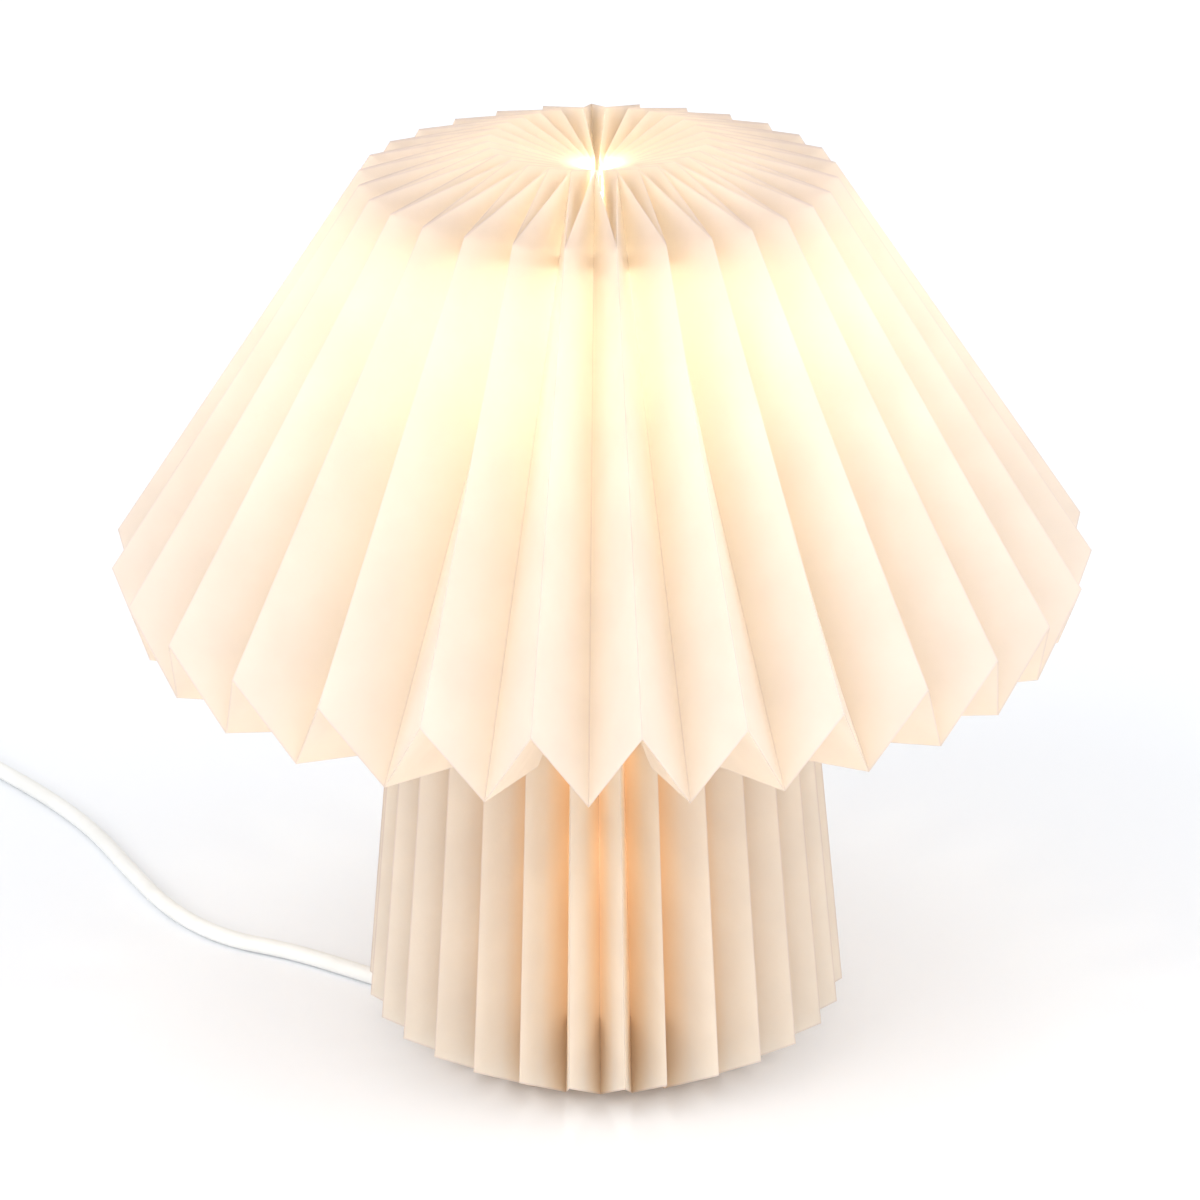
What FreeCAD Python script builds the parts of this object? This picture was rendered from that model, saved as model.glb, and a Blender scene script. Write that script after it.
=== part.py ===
"""Pleated paper table lamp: a folded paper shade on a wire carrier over a pleated paper base.

Millimetres, +Z up. The origin is on the table at the middle of the base. Azimuth 0 points to
the front, -Y, and grows towards +X. The lamp's cord leaves at the back left.
"""
import FreeCAD
import Part
import Sketcher
import math
import os
from FreeCAD import Placement, Rotation, Vector

doc = FreeCAD.newDocument("PleatedLamp")
sheet = doc.addObject("Spreadsheet::Sheet", "Sizes")

SIZES = [
    # paper
    ("PleatCount", 30),
    ("PaperThickness", 0.3),
    ("PaperSeat", 0.3),
    # shade: outer folds are ridges, inner folds are valleys; drops are below the crown
    ("ShadeRise", 129.6),
    ("HemRidgeRadius", 150.0),
    ("HemRidgeDrop", 127.4),
    ("HemCutIn", 8.7),
    ("HemCutDown", 24.7),
    ("TurnInStart", 0.5),
    ("TurnInReach", 60.0),
    ("TurnInSlope", 0.27),
    ("ShoulderRadius", 71.4),
    ("ShoulderDrop", 10.4),
    ("CrownRadius", 32.6),
    ("HoleRadius", 6.1),
    ("HoleDrop", 7.8),
    ("KeelRadius", 17.0),
    ("KeelDrop", 34.4),
    ("ThreadRadius", 12.0),
    ("ThreadDiameter", 0.8),
    ("ThreadRise", 1.6),
    # base paper
    ("BaseRidgeRadius", 75.8),
    ("BaseRidgeHeight", 15.9),
    ("BaseValleyRadius", 50.0),
    ("BaseTopHeight", 165.0),
    ("BaseLean", 0.0964),
    # weight and its feet
    ("PadHeight", 2.5),
    ("PadDiameter", 12.0),
    ("PadCircle", 34.0),
    ("PadCount", 3),
    ("WeightThickness", 24.0),
    ("WeightEdge", 1.0),
    ("CounterboreGap", 2.0),
    ("SlotWidth", 9.0),
    ("SlotDepth", 6.5),
    # stem, nuts, washers and support disc
    ("StemDiameter", 10.0),
    ("StemBore", 8.0),
    ("StemGap", 0.1),
    ("NutRim", 2.0),
    ("NutThickness", 3.3),
    ("WasherRim", 5.0),
    ("WasherThickness", 1.0),
    ("DiscThickness", 3.0),
    ("DiscInset", 34.0),
    ("DiscWindow", 12.0),
    ("DiscWindowCircle", 21.5),
    ("DiscWindowCount", 6),
    # lampholder
    ("HolderInset", 25.0),
    ("HolderNeckRadius", 8.5),
    ("HolderFlareHeight", 4.0),
    ("HolderShoulderHeight", 9.0),
    ("HolderCapLength", 18.0),
    ("HolderThread", 10.0),
    ("HolderRadius", 14.0),
    ("HolderWall", 2.0),
    ("HolderLedge", 1.0),
    ("HolderShellLength", 32.0),
    ("HolderLip", 2.0),
    ("HolderMouthGap", 0.3),
    ("InsertThickness", 10.0),
    ("ScrewShellRadius", 7.2),
    ("ScrewShellWall", 0.4),
    ("ScrewShellLength", 18.0),
    ("ContactRadius", 2.0),
    ("ContactHeight", 0.8),
    ("ContactGap", 0.2),
    ("TerminalCircle", 7.5),
    ("TerminalHeadRadius", 2.4),
    ("TerminalHeadHeight", 1.5),
    ("TerminalRadius", 1.5),
    ("TerminalLength", 6.0),
    ("GrubRadius", 1.5),
    ("GrubHeight", 2.5),
    ("RingWidth", 4.4),
    ("RingHeight", 11.0),
    ("RingThickness", 4.5),
    ("FitterGap", 0.3),
    ("FitterRadius", 26.0),
    ("FitterThickness", 1.5),
    ("RunningGap", 0.1),
    # wire carrier
    ("WireDiameter", 3.0),
    ("HoopRadius", 45.5),
    ("ArmCount", 3),
    ("ArmStartAngle", 30.0),
    ("ArmFoot", 19.5),
    ("ArmKnee", 36.0),
    ("ArmBend", 9.0),
    # bulb
    ("BulbCapRadius", 6.9),
    ("BulbCapWall", 0.4),
    ("BulbCapLength", 17.0),
    ("BulbTipRadius", 2.4),
    ("BulbTipLength", 1.5),
    ("BulbInsulator", 2.6),
    ("BulbNeckRadius", 8.0),
    ("BulbBodyLength", 17.5),
    ("BulbBodyTaper", 5.0),
    ("BulbWall", 1.2),
    ("GlobeRadius", 22.5),
    ("GlobeCut", 16.5),
    ("BoardThickness", 1.2),
    # cord and what is on it
    ("CordDiameter", 5.4),
    ("CordInSlot", 4.8),
    ("CordAzimuth", -104.8),
    ("RiserBend", 16.2),
    ("RiserGap", 0.2),
    ("RiserHeadroom", 3.0),
    ("GrommetLength", 8.0),
    ("GrommetLift", 1.0),
    ("GrommetGap", 0.05),
    ("SwitchLength", 58.0),
    ("SwitchWidth", 21.0),
    ("SwitchHeight", 15.0),
    ("SwitchSplit", 6.0),
    ("SwitchWall", 1.6),
    ("SwitchEndBlock", 15.0),
    ("SwitchCorner", 5.0),
    ("SwitchEdge", 1.2),
    ("SwitchInsert", 6.0),
    ("SwitchLead", 14.0),
    ("SwitchApproach", 34.0),
    ("WindowLength", 17.0),
    ("WindowWidth", 9.0),
    ("RockerGap", 0.35),
    ("RockerPivotDrop", 2.8),
    ("RockerDepth", 4.0),
    ("RockerSaddle", 2.4),
    ("RockerSlope", 11.0),
    ("RockerTilt", 8.0),
    ("CaseScrewRadius", 1.5),
    ("CaseScrewHeadRadius", 2.7),
    ("CaseScrewHead", 2.0),
    ("CaseScrewLength", 9.0),
    ("CaseScrewPilot", 0.5),
    ("CaseScrewAlong", 21.0),
    ("CaseScrewAcross", 6.3),
    ("PlugLength", 30.0),
    ("PlugWidth", 30.0),
    ("PlugThickness", 13.7),
    ("PlugCorner", 7.0),
    ("PlugEdge", 2.5),
    ("PinDiameter", 4.0),
    ("PinSpacing", 18.6),
    ("PinLength", 19.0),
    ("PinTip", 1.0),
    ("ReliefLength", 22.0),
    ("ReliefWall", 1.8),
    ("ReliefTaper", 0.9),
    # coil of spare cord
    ("CoilRadius", 38.5),
    ("CoilGap", 0.6),
    ("CoilHalfTurns", 6),
]


def fill_sheet():
    """Write each driving size into the sheet under its own alias."""
    for row, (alias, value) in enumerate(SIZES, start=1):
        sheet.set(f"A{row}", alias)
        sheet.set(f"B{row}", str(value))
        sheet.setAlias(f"B{row}", alias)
    doc.recompute()


fill_sheet()


def size(alias):
    """The value of one driving size."""
    return float(sheet.get(alias))


PARTS = {}


def keep(name, thing):
    """Register a document object as one sub-part of the lamp."""
    thing.Label = name
    PARTS[name] = thing
    return thing


def bind(thing, **expressions):
    """Tie properties of an object to expressions of the sheet's sizes."""
    for prop, expression in expressions.items():
        thing.setExpression(prop, expression)
    return thing


def place_z(thing, expression):
    """Tie an object's height to an expression."""
    thing.setExpression("Placement.Base.z", expression)
    return thing


# Heights and radii that several pieces share, as expressions of the sheet.
SHADE_TOP = "(Sizes.BaseTopHeight + Sizes.ShadeRise)"
WEIGHT_TOP = "(Sizes.PadHeight + Sizes.WeightThickness)"
# The stem ends where its bore just clears the inner side of the cord's bend below it.
BEND_INSIDE = "(Sizes.RiserBend - Sizes.CordDiameter / 2 - Sizes.RiserGap)"
BEND_TO_BORE = "(Sizes.RiserBend - Sizes.StemBore / 2)"
STEM_BOTTOM = ("(Sizes.CordInSlot + Sizes.RiserBend"
               f" - sqrt({BEND_INSIDE} * {BEND_INSIDE} - {BEND_TO_BORE} * {BEND_TO_BORE}))")
FOOT_NUT_TOP = f"({STEM_BOTTOM} + Sizes.NutThickness)"
COUNTERBORE_TOP = f"({FOOT_NUT_TOP} + Sizes.WasherThickness)"
STEM_HOLE = "(Sizes.StemDiameter / 2 + Sizes.StemGap)"
WASHER_RADIUS = "(Sizes.StemDiameter / 2 + Sizes.WasherRim)"
COUNTERBORE_RADIUS = f"({WASHER_RADIUS} + Sizes.CounterboreGap)"
DISC_TOP = "(Sizes.BaseTopHeight - Sizes.DiscInset)"
DISC_BOTTOM = f"({DISC_TOP} - Sizes.DiscThickness)"
HOLDER_BOTTOM = "(Sizes.BaseTopHeight - Sizes.HolderInset)"
THREAD_TOP = f"({HOLDER_BOTTOM} + Sizes.HolderThread)"
SHELL_BOTTOM = f"({HOLDER_BOTTOM} + Sizes.HolderCapLength)"
SHELL_TOP = f"({SHELL_BOTTOM} + Sizes.HolderShellLength)"
SHELL_INSIDE = "(Sizes.HolderRadius - Sizes.HolderWall)"
INSERT_TOP = f"({SHELL_BOTTOM} + Sizes.InsertThickness)"
RING_LOWER = f"({SHELL_BOTTOM} + Sizes.RingHeight)"
FITTER_BOTTOM = f"({RING_LOWER} + Sizes.RingThickness)"
RING_UPPER = f"({FITTER_BOTTOM} + Sizes.FitterThickness)"
TIP_BOTTOM = f"({INSERT_TOP} + Sizes.ContactHeight + Sizes.ContactGap)"
INSULATOR_BOTTOM = f"({TIP_BOTTOM} + Sizes.BulbTipLength)"
BULB_CAP_BOTTOM = f"({INSULATOR_BOTTOM} + Sizes.BulbInsulator)"
BULB_BODY_BOTTOM = f"({BULB_CAP_BOTTOM} + Sizes.BulbCapLength)"
GLOBE_BOTTOM = f"({BULB_BODY_BOTTOM} + Sizes.BulbBodyLength)"
GLOBE_RIM = "sqrt(Sizes.GlobeRadius * Sizes.GlobeRadius - Sizes.GlobeCut * Sizes.GlobeCut)"


def inside_base(height):
    """The radius that clears the base paper's inner folds at a height."""
    return (f"(Sizes.BaseValleyRadius - Sizes.BaseLean * {height}"
            " - Sizes.PaperThickness / 2 - Sizes.PaperSeat)")


WEIGHT_RADIUS = inside_base(WEIGHT_TOP)
DISC_RADIUS = inside_base(DISC_TOP)


def value_of(expression):
    """The value of one of the shared expressions, for pieces that are built from points."""
    return float(sheet.evalExpression(expression.replace("Sizes.", "")))


# ---------------------------------------------------------------- turned pieces


def origin_plane(body, role):
    """One of a body's own origin planes."""
    return next(feature for feature in body.Origin.OriginFeatures if feature.Role == role)


def tie_corner(sketch, name, line, radius, height):
    """Tie a line's first end to a radius and a height; a radius of 0 lies on the axis."""
    if radius == "0":
        sketch.addConstraint(Sketcher.Constraint("PointOnObject", line, 1, -2))
    else:
        spot = sketch.addConstraint(Sketcher.Constraint("DistanceX", -1, 1, line, 1, 1.0))
        sketch.renameConstraint(spot, f"Radius{name}")
        sketch.setExpression(f"Constraints.Radius{name}", radius)
    spot = sketch.addConstraint(Sketcher.Constraint("DistanceY", -1, 1, line, 1, 1.0))
    sketch.renameConstraint(spot, f"Height{name}")
    sketch.setExpression(f"Constraints.Height{name}", height)


def closed_sketch(body, name, corners):
    """A closed outline in the body's XZ plane, each corner tied to its radius and height."""
    sketch = body.newObject("Sketcher::SketchObject", name)
    sketch.AttachmentSupport = (origin_plane(body, "XZ_Plane"), [""])
    sketch.MapMode = "FlatFace"
    spots = [Vector(value_of(radius), value_of(height), 0) for radius, height in corners]
    for start, end in zip(spots, spots[1:] + spots[:1]):
        sketch.addGeometry(Part.LineSegment(start, end), False)
    count = len(corners)
    for line in range(count):
        sketch.addConstraint(Sketcher.Constraint("Coincident", line, 2, (line + 1) % count, 1))
    for line, (radius, height) in enumerate(corners):
        tie_corner(sketch, str(line + 1), line, radius, height)
    return sketch


def turned(name, corners):
    """A body turned about the lamp's axis from an outline of radii and heights."""
    body = doc.addObject("PartDesign::Body", f"{name}_body")
    sketch = closed_sketch(body, f"{name}_outline", corners)
    doc.recompute()
    turn = body.newObject("PartDesign::Revolution", f"{name}_turn")
    turn.Profile = sketch
    turn.ReferenceAxis = (sketch, ["V_Axis"])
    turn.Angle = 360
    sketch.Visibility = False
    doc.recompute()
    return body


def cylinder(name, radius, height, bottom):
    """A plain cylinder on the lamp's axis, its sizes tied to expressions."""
    thing = doc.addObject("Part::Cylinder", name)
    bind(thing, Radius=radius, Height=height)
    return place_z(thing, bottom)


def cut(name, base, tool):
    """One shape less another."""
    thing = doc.addObject("Part::Cut", name)
    thing.Base = base
    thing.Tool = tool
    return thing


def fuse(name, shapes):
    """Several shapes joined into one."""
    thing = doc.addObject("Part::MultiFuse", name)
    thing.Shapes = shapes
    return thing


def box(name, length, width, height):
    """A box tied to expressions, with its corner at the origin."""
    thing = doc.addObject("Part::Box", name)
    return bind(thing, Length=length, Width=width, Height=height)


def compound(name, things):
    """Separate solids that are alike, kept together as one sub-part."""
    thing = doc.addObject("Part::Compound", f"{name}_set")
    thing.Links = things
    return keep(name, thing)


def ring(name, outer, bore, thickness, bottom):
    """A flat ring on the lamp's axis."""
    disc = cylinder(f"{name}_disc", outer, thickness, bottom)
    hole = cylinder(f"{name}_hole", bore, thickness, bottom)
    return cut(f"{name}_ring", disc, hole)


def hex_nut(name, bottom):
    """A thin hexagon nut on the stem."""
    prism = doc.addObject("Part::Prism", f"{name}_hexagon")
    prism.Polygon = 6
    bind(prism, Circumradius="(Sizes.StemDiameter / 2 + Sizes.NutRim) / cos(30)",
         Height="Sizes.NutThickness")
    place_z(prism, bottom)
    hole = cylinder(f"{name}_hole", "Sizes.StemDiameter / 2", "Sizes.NutThickness", bottom)
    return cut(f"{name}_nut", prism, hole)


# ---------------------------------------------------------------- folded paper


def fold_spot(azimuth, point, shift):
    """A point on a fold: its radius and height at the fold's azimuth, moved round by shift."""
    radius, height = point
    turned_to = azimuth + shift / radius
    return Vector(radius * math.sin(turned_to), -radius * math.cos(turned_to), height)


def between(start, end, share):
    """The point at a share of the way from start to end."""
    return tuple(first + (last - first) * share for first, last in zip(start, end))


def crossing(first, second):
    """Where two lines in the radius and height plane cross; each is a pair of points."""
    (ax, az), (bx, bz) = first
    (cx, cz), (dx, dz) = second
    span = (bx - ax) * (dz - cz) - (bz - az) * (dx - cx)
    share = ((cx - ax) * (dz - cz) - (cz - az) * (dx - cx)) / span
    return between((ax, az), (bx, bz), share)


def flat_face(*corners):
    """A plane face through corners that lie in one plane."""
    return Part.Face(Part.makePolygon(list(corners) + [corners[0]]))


def skew_face(first, second, third, fourth):
    """The ruled face between two straight folds that aren't parallel."""
    patch = Part.BSplineSurface()
    poles = [[first, second], [fourth, third]]
    patch.buildFromPolesMultsKnots(poles, [2, 2], [2, 2], [0, 1], [0, 1], False, False, 1, 1)
    return patch.toShape()


class FoldLine:
    """One edge or crease that zigzags round the lamp, from ridge points to valley points.

    The paper has its thickness round the lamp: each fold is a narrow flat on its outer side,
    and the two panels' inner sides meet at the core, a little way along the panel.
    """

    def __init__(self, ridge, valley, azimuths, half_paper, ridge_core=None, valley_core=None):
        half_pitch = math.pi / size("PleatCount")
        core_share = half_paper / (half_pitch * ridge[0])
        valley_share = half_paper / (half_pitch * valley[0])
        self.ridge = ridge
        self.valley = valley
        self.half = half_paper
        self.azimuths = azimuths
        self.ridge_inside = ridge_core or between(ridge, valley, core_share)
        self.valley_inside = valley_core or between(valley, ridge, valley_share)

    def ridge_side(self, pleat, side):
        return fold_spot(self.azimuths(pleat), self.ridge, side * self.half)

    def valley_side(self, pleat, side):
        return fold_spot(self.azimuths(pleat), self.valley, side * self.half)

    def ridge_core(self, pleat):
        return fold_spot(self.azimuths(pleat), self.ridge_inside, 0)

    def valley_core(self, pleat):
        return fold_spot(self.azimuths(pleat), self.valley_inside, 0)

    def cap(self, pleat):
        """The faces across the paper's thickness along this line, for one pleat."""
        faces = [flat_face(self.ridge_side(pleat, -1), self.ridge_core(pleat), self.ridge_side(pleat, 1)),
                 flat_face(self.valley_side(pleat + 0.5, -1), self.valley_core(pleat + 0.5),
                           self.valley_side(pleat + 0.5, 1))]
        for side in (-1, 1):
            valley = pleat + side / 2
            outer = self.ridge_side(pleat, side)
            groove = self.valley_core(valley)
            inner = self.valley_side(valley, -side)
            core = self.ridge_core(pleat)
            faces.append(flat_face(outer, groove, core))
            faces.append(flat_face(groove, inner, core))
        return faces


def ridge_flat(low, high, pleat):
    """The narrow flat along a ridge between two fold lines."""
    return flat_face(low.ridge_side(pleat, -1), high.ridge_side(pleat, -1),
                     high.ridge_side(pleat, 1), low.ridge_side(pleat, 1))


def valley_flat(low, high, pleat):
    """The narrow flat along a valley between two fold lines."""
    return flat_face(low.valley_side(pleat, -1), high.valley_side(pleat, -1),
                     high.valley_side(pleat, 1), low.valley_side(pleat, 1))


def paper_solid(faces):
    """Join faces into one closed solid with its faces outwards."""
    shell = Part.makeShell(faces)
    shell.sewShape()
    solid = Part.Solid(shell)
    if solid.Volume < 0:
        solid.reverse()
    return solid


def tube_panels(low, high, pleat):
    """One pleat of a plain pleated tube, without its ends."""
    faces = [ridge_flat(low, high, pleat), valley_flat(low, high, pleat + 0.5)]
    for side in (-1, 1):
        valley = pleat + side / 2
        faces.append(skew_face(low.ridge_side(pleat, side), high.ridge_side(pleat, side),
                               high.valley_core(valley), low.valley_core(valley)))
        faces.append(skew_face(low.ridge_core(pleat), high.ridge_core(pleat),
                               high.valley_side(valley, -side), low.valley_side(valley, -side)))
    return faces


def base_azimuth(pleat):
    """The azimuth of a fold of the base, in radians: even steps but for the pleats by the seam."""
    step = 360 / size("PleatCount")
    first, wave, wave_phase = -8.9, 0.3, 139
    seam, shift, reach = 1.46, 2.44, 0.69
    turn = (pleat - seam) / reach
    uneven = wave * math.sin(math.radians(step * pleat + wave_phase)) - shift * turn * math.exp(-turn ** 2)
    return math.radians(first + step * pleat + uneven)


def shade_azimuth(pleat):
    """The azimuth of a fold of the shade, in radians: the pleats are spread beside the seam."""
    step = 360 / size("PleatCount")
    first, wave, wave_phase = -10.8, 0.94, 186
    seam, shift, reach = 0.54, 3.24, 3.94
    turn = (pleat - seam) / reach
    uneven = wave * math.sin(math.radians(step * pleat + wave_phase)) + shift * math.exp(-turn ** 2)
    return math.radians(first + step * pleat + uneven)


def around(azimuth):
    """Make an azimuth rule close on itself after one turn of pleats."""
    count = int(size("PleatCount"))

    def closed(pleat):
        turns = math.floor((pleat + count / 2) / count)
        return azimuth(pleat - turns * count) + turns * 2 * math.pi

    return closed


def base_paper():
    """The pleated base: outer folds lean in towards the top, its lower edge zigzags to the table."""
    lean = size("BaseLean")
    top = size("BaseTopHeight")
    ridge = (size("BaseRidgeRadius"), size("BaseRidgeHeight"))
    valley = (size("BaseValleyRadius"), 0.0)
    folds = around(base_azimuth)
    half = size("PaperThickness") / 2
    low = FoldLine(ridge, valley, folds, half)
    high = FoldLine((ridge[0] - lean * (top - ridge[1]), top), (valley[0] - lean * top, top), folds, half)
    faces = []
    for pleat in range(int(size("PleatCount"))):
        faces += low.cap(pleat) + high.cap(pleat) + tube_panels(low, high, pleat)
    thing = doc.addObject("Part::Feature", "base_paper_fold")
    thing.Shape = paper_solid(faces)
    return keep("base_paper", thing)


def shade_outline():
    """The six points, in radius and height, between which the shade's folds run."""
    top = value_of(SHADE_TOP)
    hem = top - size("HemRidgeDrop")
    return {
        "hem_ridge": (size("HemRidgeRadius"), hem),
        "hem_valley": (size("HemRidgeRadius") - size("HemCutIn"), hem - size("HemCutDown")),
        "shoulder": (size("ShoulderRadius"), top - size("ShoulderDrop")),
        "crown": (size("CrownRadius"), top),
        "keel": (size("KeelRadius"), top - size("KeelDrop")),
        "hole": (size("HoleRadius"), top - size("HoleDrop")),
    }


def shade_lines():
    """The shade's fold lines: hem, shoulder crease, rim of the hole, and where the panels meet below."""
    spots = shade_outline()
    half = size("PaperThickness") / 2
    folds = around(shade_azimuth)
    hem = FoldLine(spots["hem_ridge"], spots["hem_valley"], folds, half)
    crease = FoldLine(spots["shoulder"], spots["crown"], folds, half)
    rim = FoldLine(spots["keel"], spots["hole"], folds, half)

    cone_inside = (between(hem.ridge, hem.ridge_inside, 2), between(crease.ridge, crease.ridge_inside, 2))
    funnel_inside = (between(rim.valley, rim.valley_inside, 2),
                     between(crease.valley, crease.valley_inside, 2))
    under_shoulder = crossing(cone_inside, (crease.ridge, rim.ridge))
    under_crown = crossing(funnel_inside, (crease.valley, hem.valley))
    below = FoldLine(under_shoulder, under_crown, folds, half, under_shoulder, under_crown)
    return hem, crease, rim, below


def shade_pleat(hem, crease, rim, below, pleat):
    """One pleat of the shade: the cone's two panels folded over at the crease into the funnel."""
    valley = pleat + 0.5
    faces = hem.cap(pleat) + crease.cap(pleat) + rim.cap(pleat)
    faces += [ridge_flat(hem, crease, pleat), ridge_flat(below, rim, pleat),
              valley_flat(crease, rim, valley), valley_flat(hem, below, valley)]
    faces.append(flat_face(hem.ridge_core(pleat), below.ridge_side(pleat, -1), below.ridge_side(pleat, 1)))
    faces.append(flat_face(rim.valley_core(valley), below.valley_side(valley, -1), below.valley_side(valley, 1)))
    for side in (-1, 1):
        next_valley = pleat + side / 2
        faces.append(skew_face(hem.ridge_side(pleat, side), crease.ridge_side(pleat, side),
                               crease.valley_core(next_valley), hem.valley_core(next_valley)))
        faces.append(skew_face(crease.ridge_core(pleat), rim.ridge_core(pleat),
                               rim.valley_side(next_valley, -side), crease.valley_side(next_valley, -side)))
        faces.append(skew_face(hem.ridge_core(pleat), below.ridge_side(pleat, side),
                               below.valley_side(next_valley, -side), hem.valley_side(next_valley, -side)))
        faces.append(skew_face(below.ridge_side(pleat, side), rim.ridge_side(pleat, side),
                               rim.valley_core(next_valley), below.valley_side(next_valley, -side)))
    return faces


def shade_paper():
    """The shade: a pleated cone, folded back at the shoulder into a shallow funnel with a hole."""
    lines = shade_lines()
    faces = []
    for pleat in range(int(size("PleatCount"))):
        faces += shade_pleat(*lines, pleat)
    thing = doc.addObject("Part::Feature", "shade_paper_fold")
    thing.Shape = paper_solid(faces)
    return keep("shade_paper", thing)


def shade_underside():
    """The shade's sheet turned in at the hem: its folds run inwards and a little down, and end free."""
    spots = shade_outline()
    folds = around(shade_azimuth)

    def turned_in(reach):
        drop = size("TurnInSlope") * reach
        ridge, valley = [(radius - reach, height - drop)
                         for radius, height in (spots["hem_ridge"], spots["hem_valley"])]
        return FoldLine(ridge, valley, folds, size("PaperThickness") / 2)

    outer = turned_in(size("TurnInStart"))
    inner = turned_in(size("TurnInReach"))
    faces = []
    for pleat in range(int(size("PleatCount"))):
        faces += outer.cap(pleat) + inner.cap(pleat) + tube_panels(inner, outer, pleat)
    thing = doc.addObject("Part::Feature", "shade_underside_fold")
    thing.Shape = paper_solid(faces)
    return keep("shade_underside", thing)


def keel_height(radius):
    """The height of the funnel's lower folds, the underside that rests on the hoop."""
    spots = shade_outline()
    (near, near_height), (far, far_height) = spots["keel"], spots["shoulder"]
    return near_height + (far_height - near_height) * (radius - near) / (far - near)


def shade_thread():
    """The thread that gathers the folds round the hole, run through the middle of every panel."""
    thing = doc.addObject("Part::Torus", "shade_thread_ring")
    bind(thing, Radius1="Sizes.ThreadRadius", Radius2="Sizes.ThreadDiameter / 2")
    share = "(Sizes.ThreadRadius - Sizes.HoleRadius) / (Sizes.KeelRadius - Sizes.HoleRadius)"
    place_z(thing, f"{SHADE_TOP} - Sizes.HoleDrop - {share} * (Sizes.KeelDrop - Sizes.HoleDrop)"
                   " + Sizes.ThreadRise")
    return keep("shade_thread", thing)


# ---------------------------------------------------------------- weight, stem and disc


def cord_turn():
    """The turn about the vertical that points a piece's X axis along the cord's way out."""
    return Rotation(Vector(0, 0, 1), size("CordAzimuth") - 90)


def outward(radius, height):
    """A point on the cord's way out of the weight."""
    return cord_turn().multVec(Vector(radius, 0, height))


def base_weight():
    """The cast-iron disc in the foot, with a counterbore and a slot for the cord below."""
    body = turned("base_weight", [
        (COUNTERBORE_RADIUS, "Sizes.PadHeight"),
        (f"{WEIGHT_RADIUS} - Sizes.WeightEdge", "Sizes.PadHeight"),
        (WEIGHT_RADIUS, "Sizes.PadHeight + Sizes.WeightEdge"),
        (WEIGHT_RADIUS, WEIGHT_TOP),
        (STEM_HOLE, WEIGHT_TOP),
        (STEM_HOLE, COUNTERBORE_TOP),
        (COUNTERBORE_RADIUS, COUNTERBORE_TOP),
    ])
    slot = box("cord_slot", f"{WEIGHT_RADIUS} + 1", "Sizes.SlotWidth", "Sizes.SlotDepth")
    corner = cord_turn().multVec(Vector(0, -size("SlotWidth") / 2, size("PadHeight")))
    slot.Placement = Placement(corner, cord_turn())
    keep("base_weight", cut("base_weight_slotted", body, slot))


def foot_pads():
    """Rubber pads under the weight, clear of the cord's slot."""
    count = int(size("PadCount"))
    for number in range(count):
        name = f"foot_pad_{number + 1}"
        angle = f"(Sizes.CordAzimuth - 90 + 360 / Sizes.PadCount * {number + 0.5})"
        pad = doc.addObject("Part::Cylinder", f"{name}_disc")
        bind(pad, **{"Radius": "Sizes.PadDiameter / 2", "Height": "Sizes.PadHeight",
                     "Placement.Base.x": f"Sizes.PadCircle * cos({angle})",
                     "Placement.Base.y": f"Sizes.PadCircle * sin({angle})"})
        keep(name, pad)


def stem():
    """The threaded tube that carries the lampholder, with its nuts and washers."""
    tube = ring("stem", "Sizes.StemDiameter / 2", "Sizes.StemBore / 2",
                f"{THREAD_TOP} - {STEM_BOTTOM}", STEM_BOTTOM)
    keep("stem_tube", tube)
    washers = [ring("foot_washer", WASHER_RADIUS, STEM_HOLE, "Sizes.WasherThickness", FOOT_NUT_TOP),
               ring("weight_washer", WASHER_RADIUS, STEM_HOLE, "Sizes.WasherThickness", WEIGHT_TOP)]
    compound("stem_washers", washers)
    nuts = [hex_nut("foot", STEM_BOTTOM),
            hex_nut("weight", f"{WEIGHT_TOP} + Sizes.WasherThickness"),
            hex_nut("disc_lower", f"{DISC_BOTTOM} - Sizes.NutThickness"),
            hex_nut("disc_upper", DISC_TOP)]
    compound("stem_nuts", nuts)


def support_disc():
    """The disc that keeps the top of the base paper round, with windows that let light down."""
    disc = cylinder("support_disc_blank", DISC_RADIUS, "Sizes.DiscThickness", DISC_BOTTOM)
    holes = [cylinder("support_disc_bore", STEM_HOLE, "Sizes.DiscThickness", DISC_BOTTOM)]
    for number in range(int(size("DiscWindowCount"))):
        angle = f"(360 / Sizes.DiscWindowCount * {number})"
        window = cylinder(f"support_disc_window_{number + 1}", "Sizes.DiscWindow / 2",
                          "Sizes.DiscThickness", DISC_BOTTOM)
        bind(window, **{"Placement.Base.x": f"Sizes.DiscWindowCircle * cos({angle})",
                        "Placement.Base.y": f"Sizes.DiscWindowCircle * sin({angle})"})
        holes.append(window)
    keep("support_disc", cut("support_disc_open", disc, fuse("support_disc_holes", holes)))


# ---------------------------------------------------------------- lampholder


def across(name, radius, length, start):
    """A cylinder that lies along X from a start point."""
    thing = doc.addObject("Part::Cylinder", name)
    bind(thing, Radius=radius, Height=length)
    thing.Placement = Placement(start, Rotation(Vector(0, 1, 0), 90))
    return thing


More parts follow.
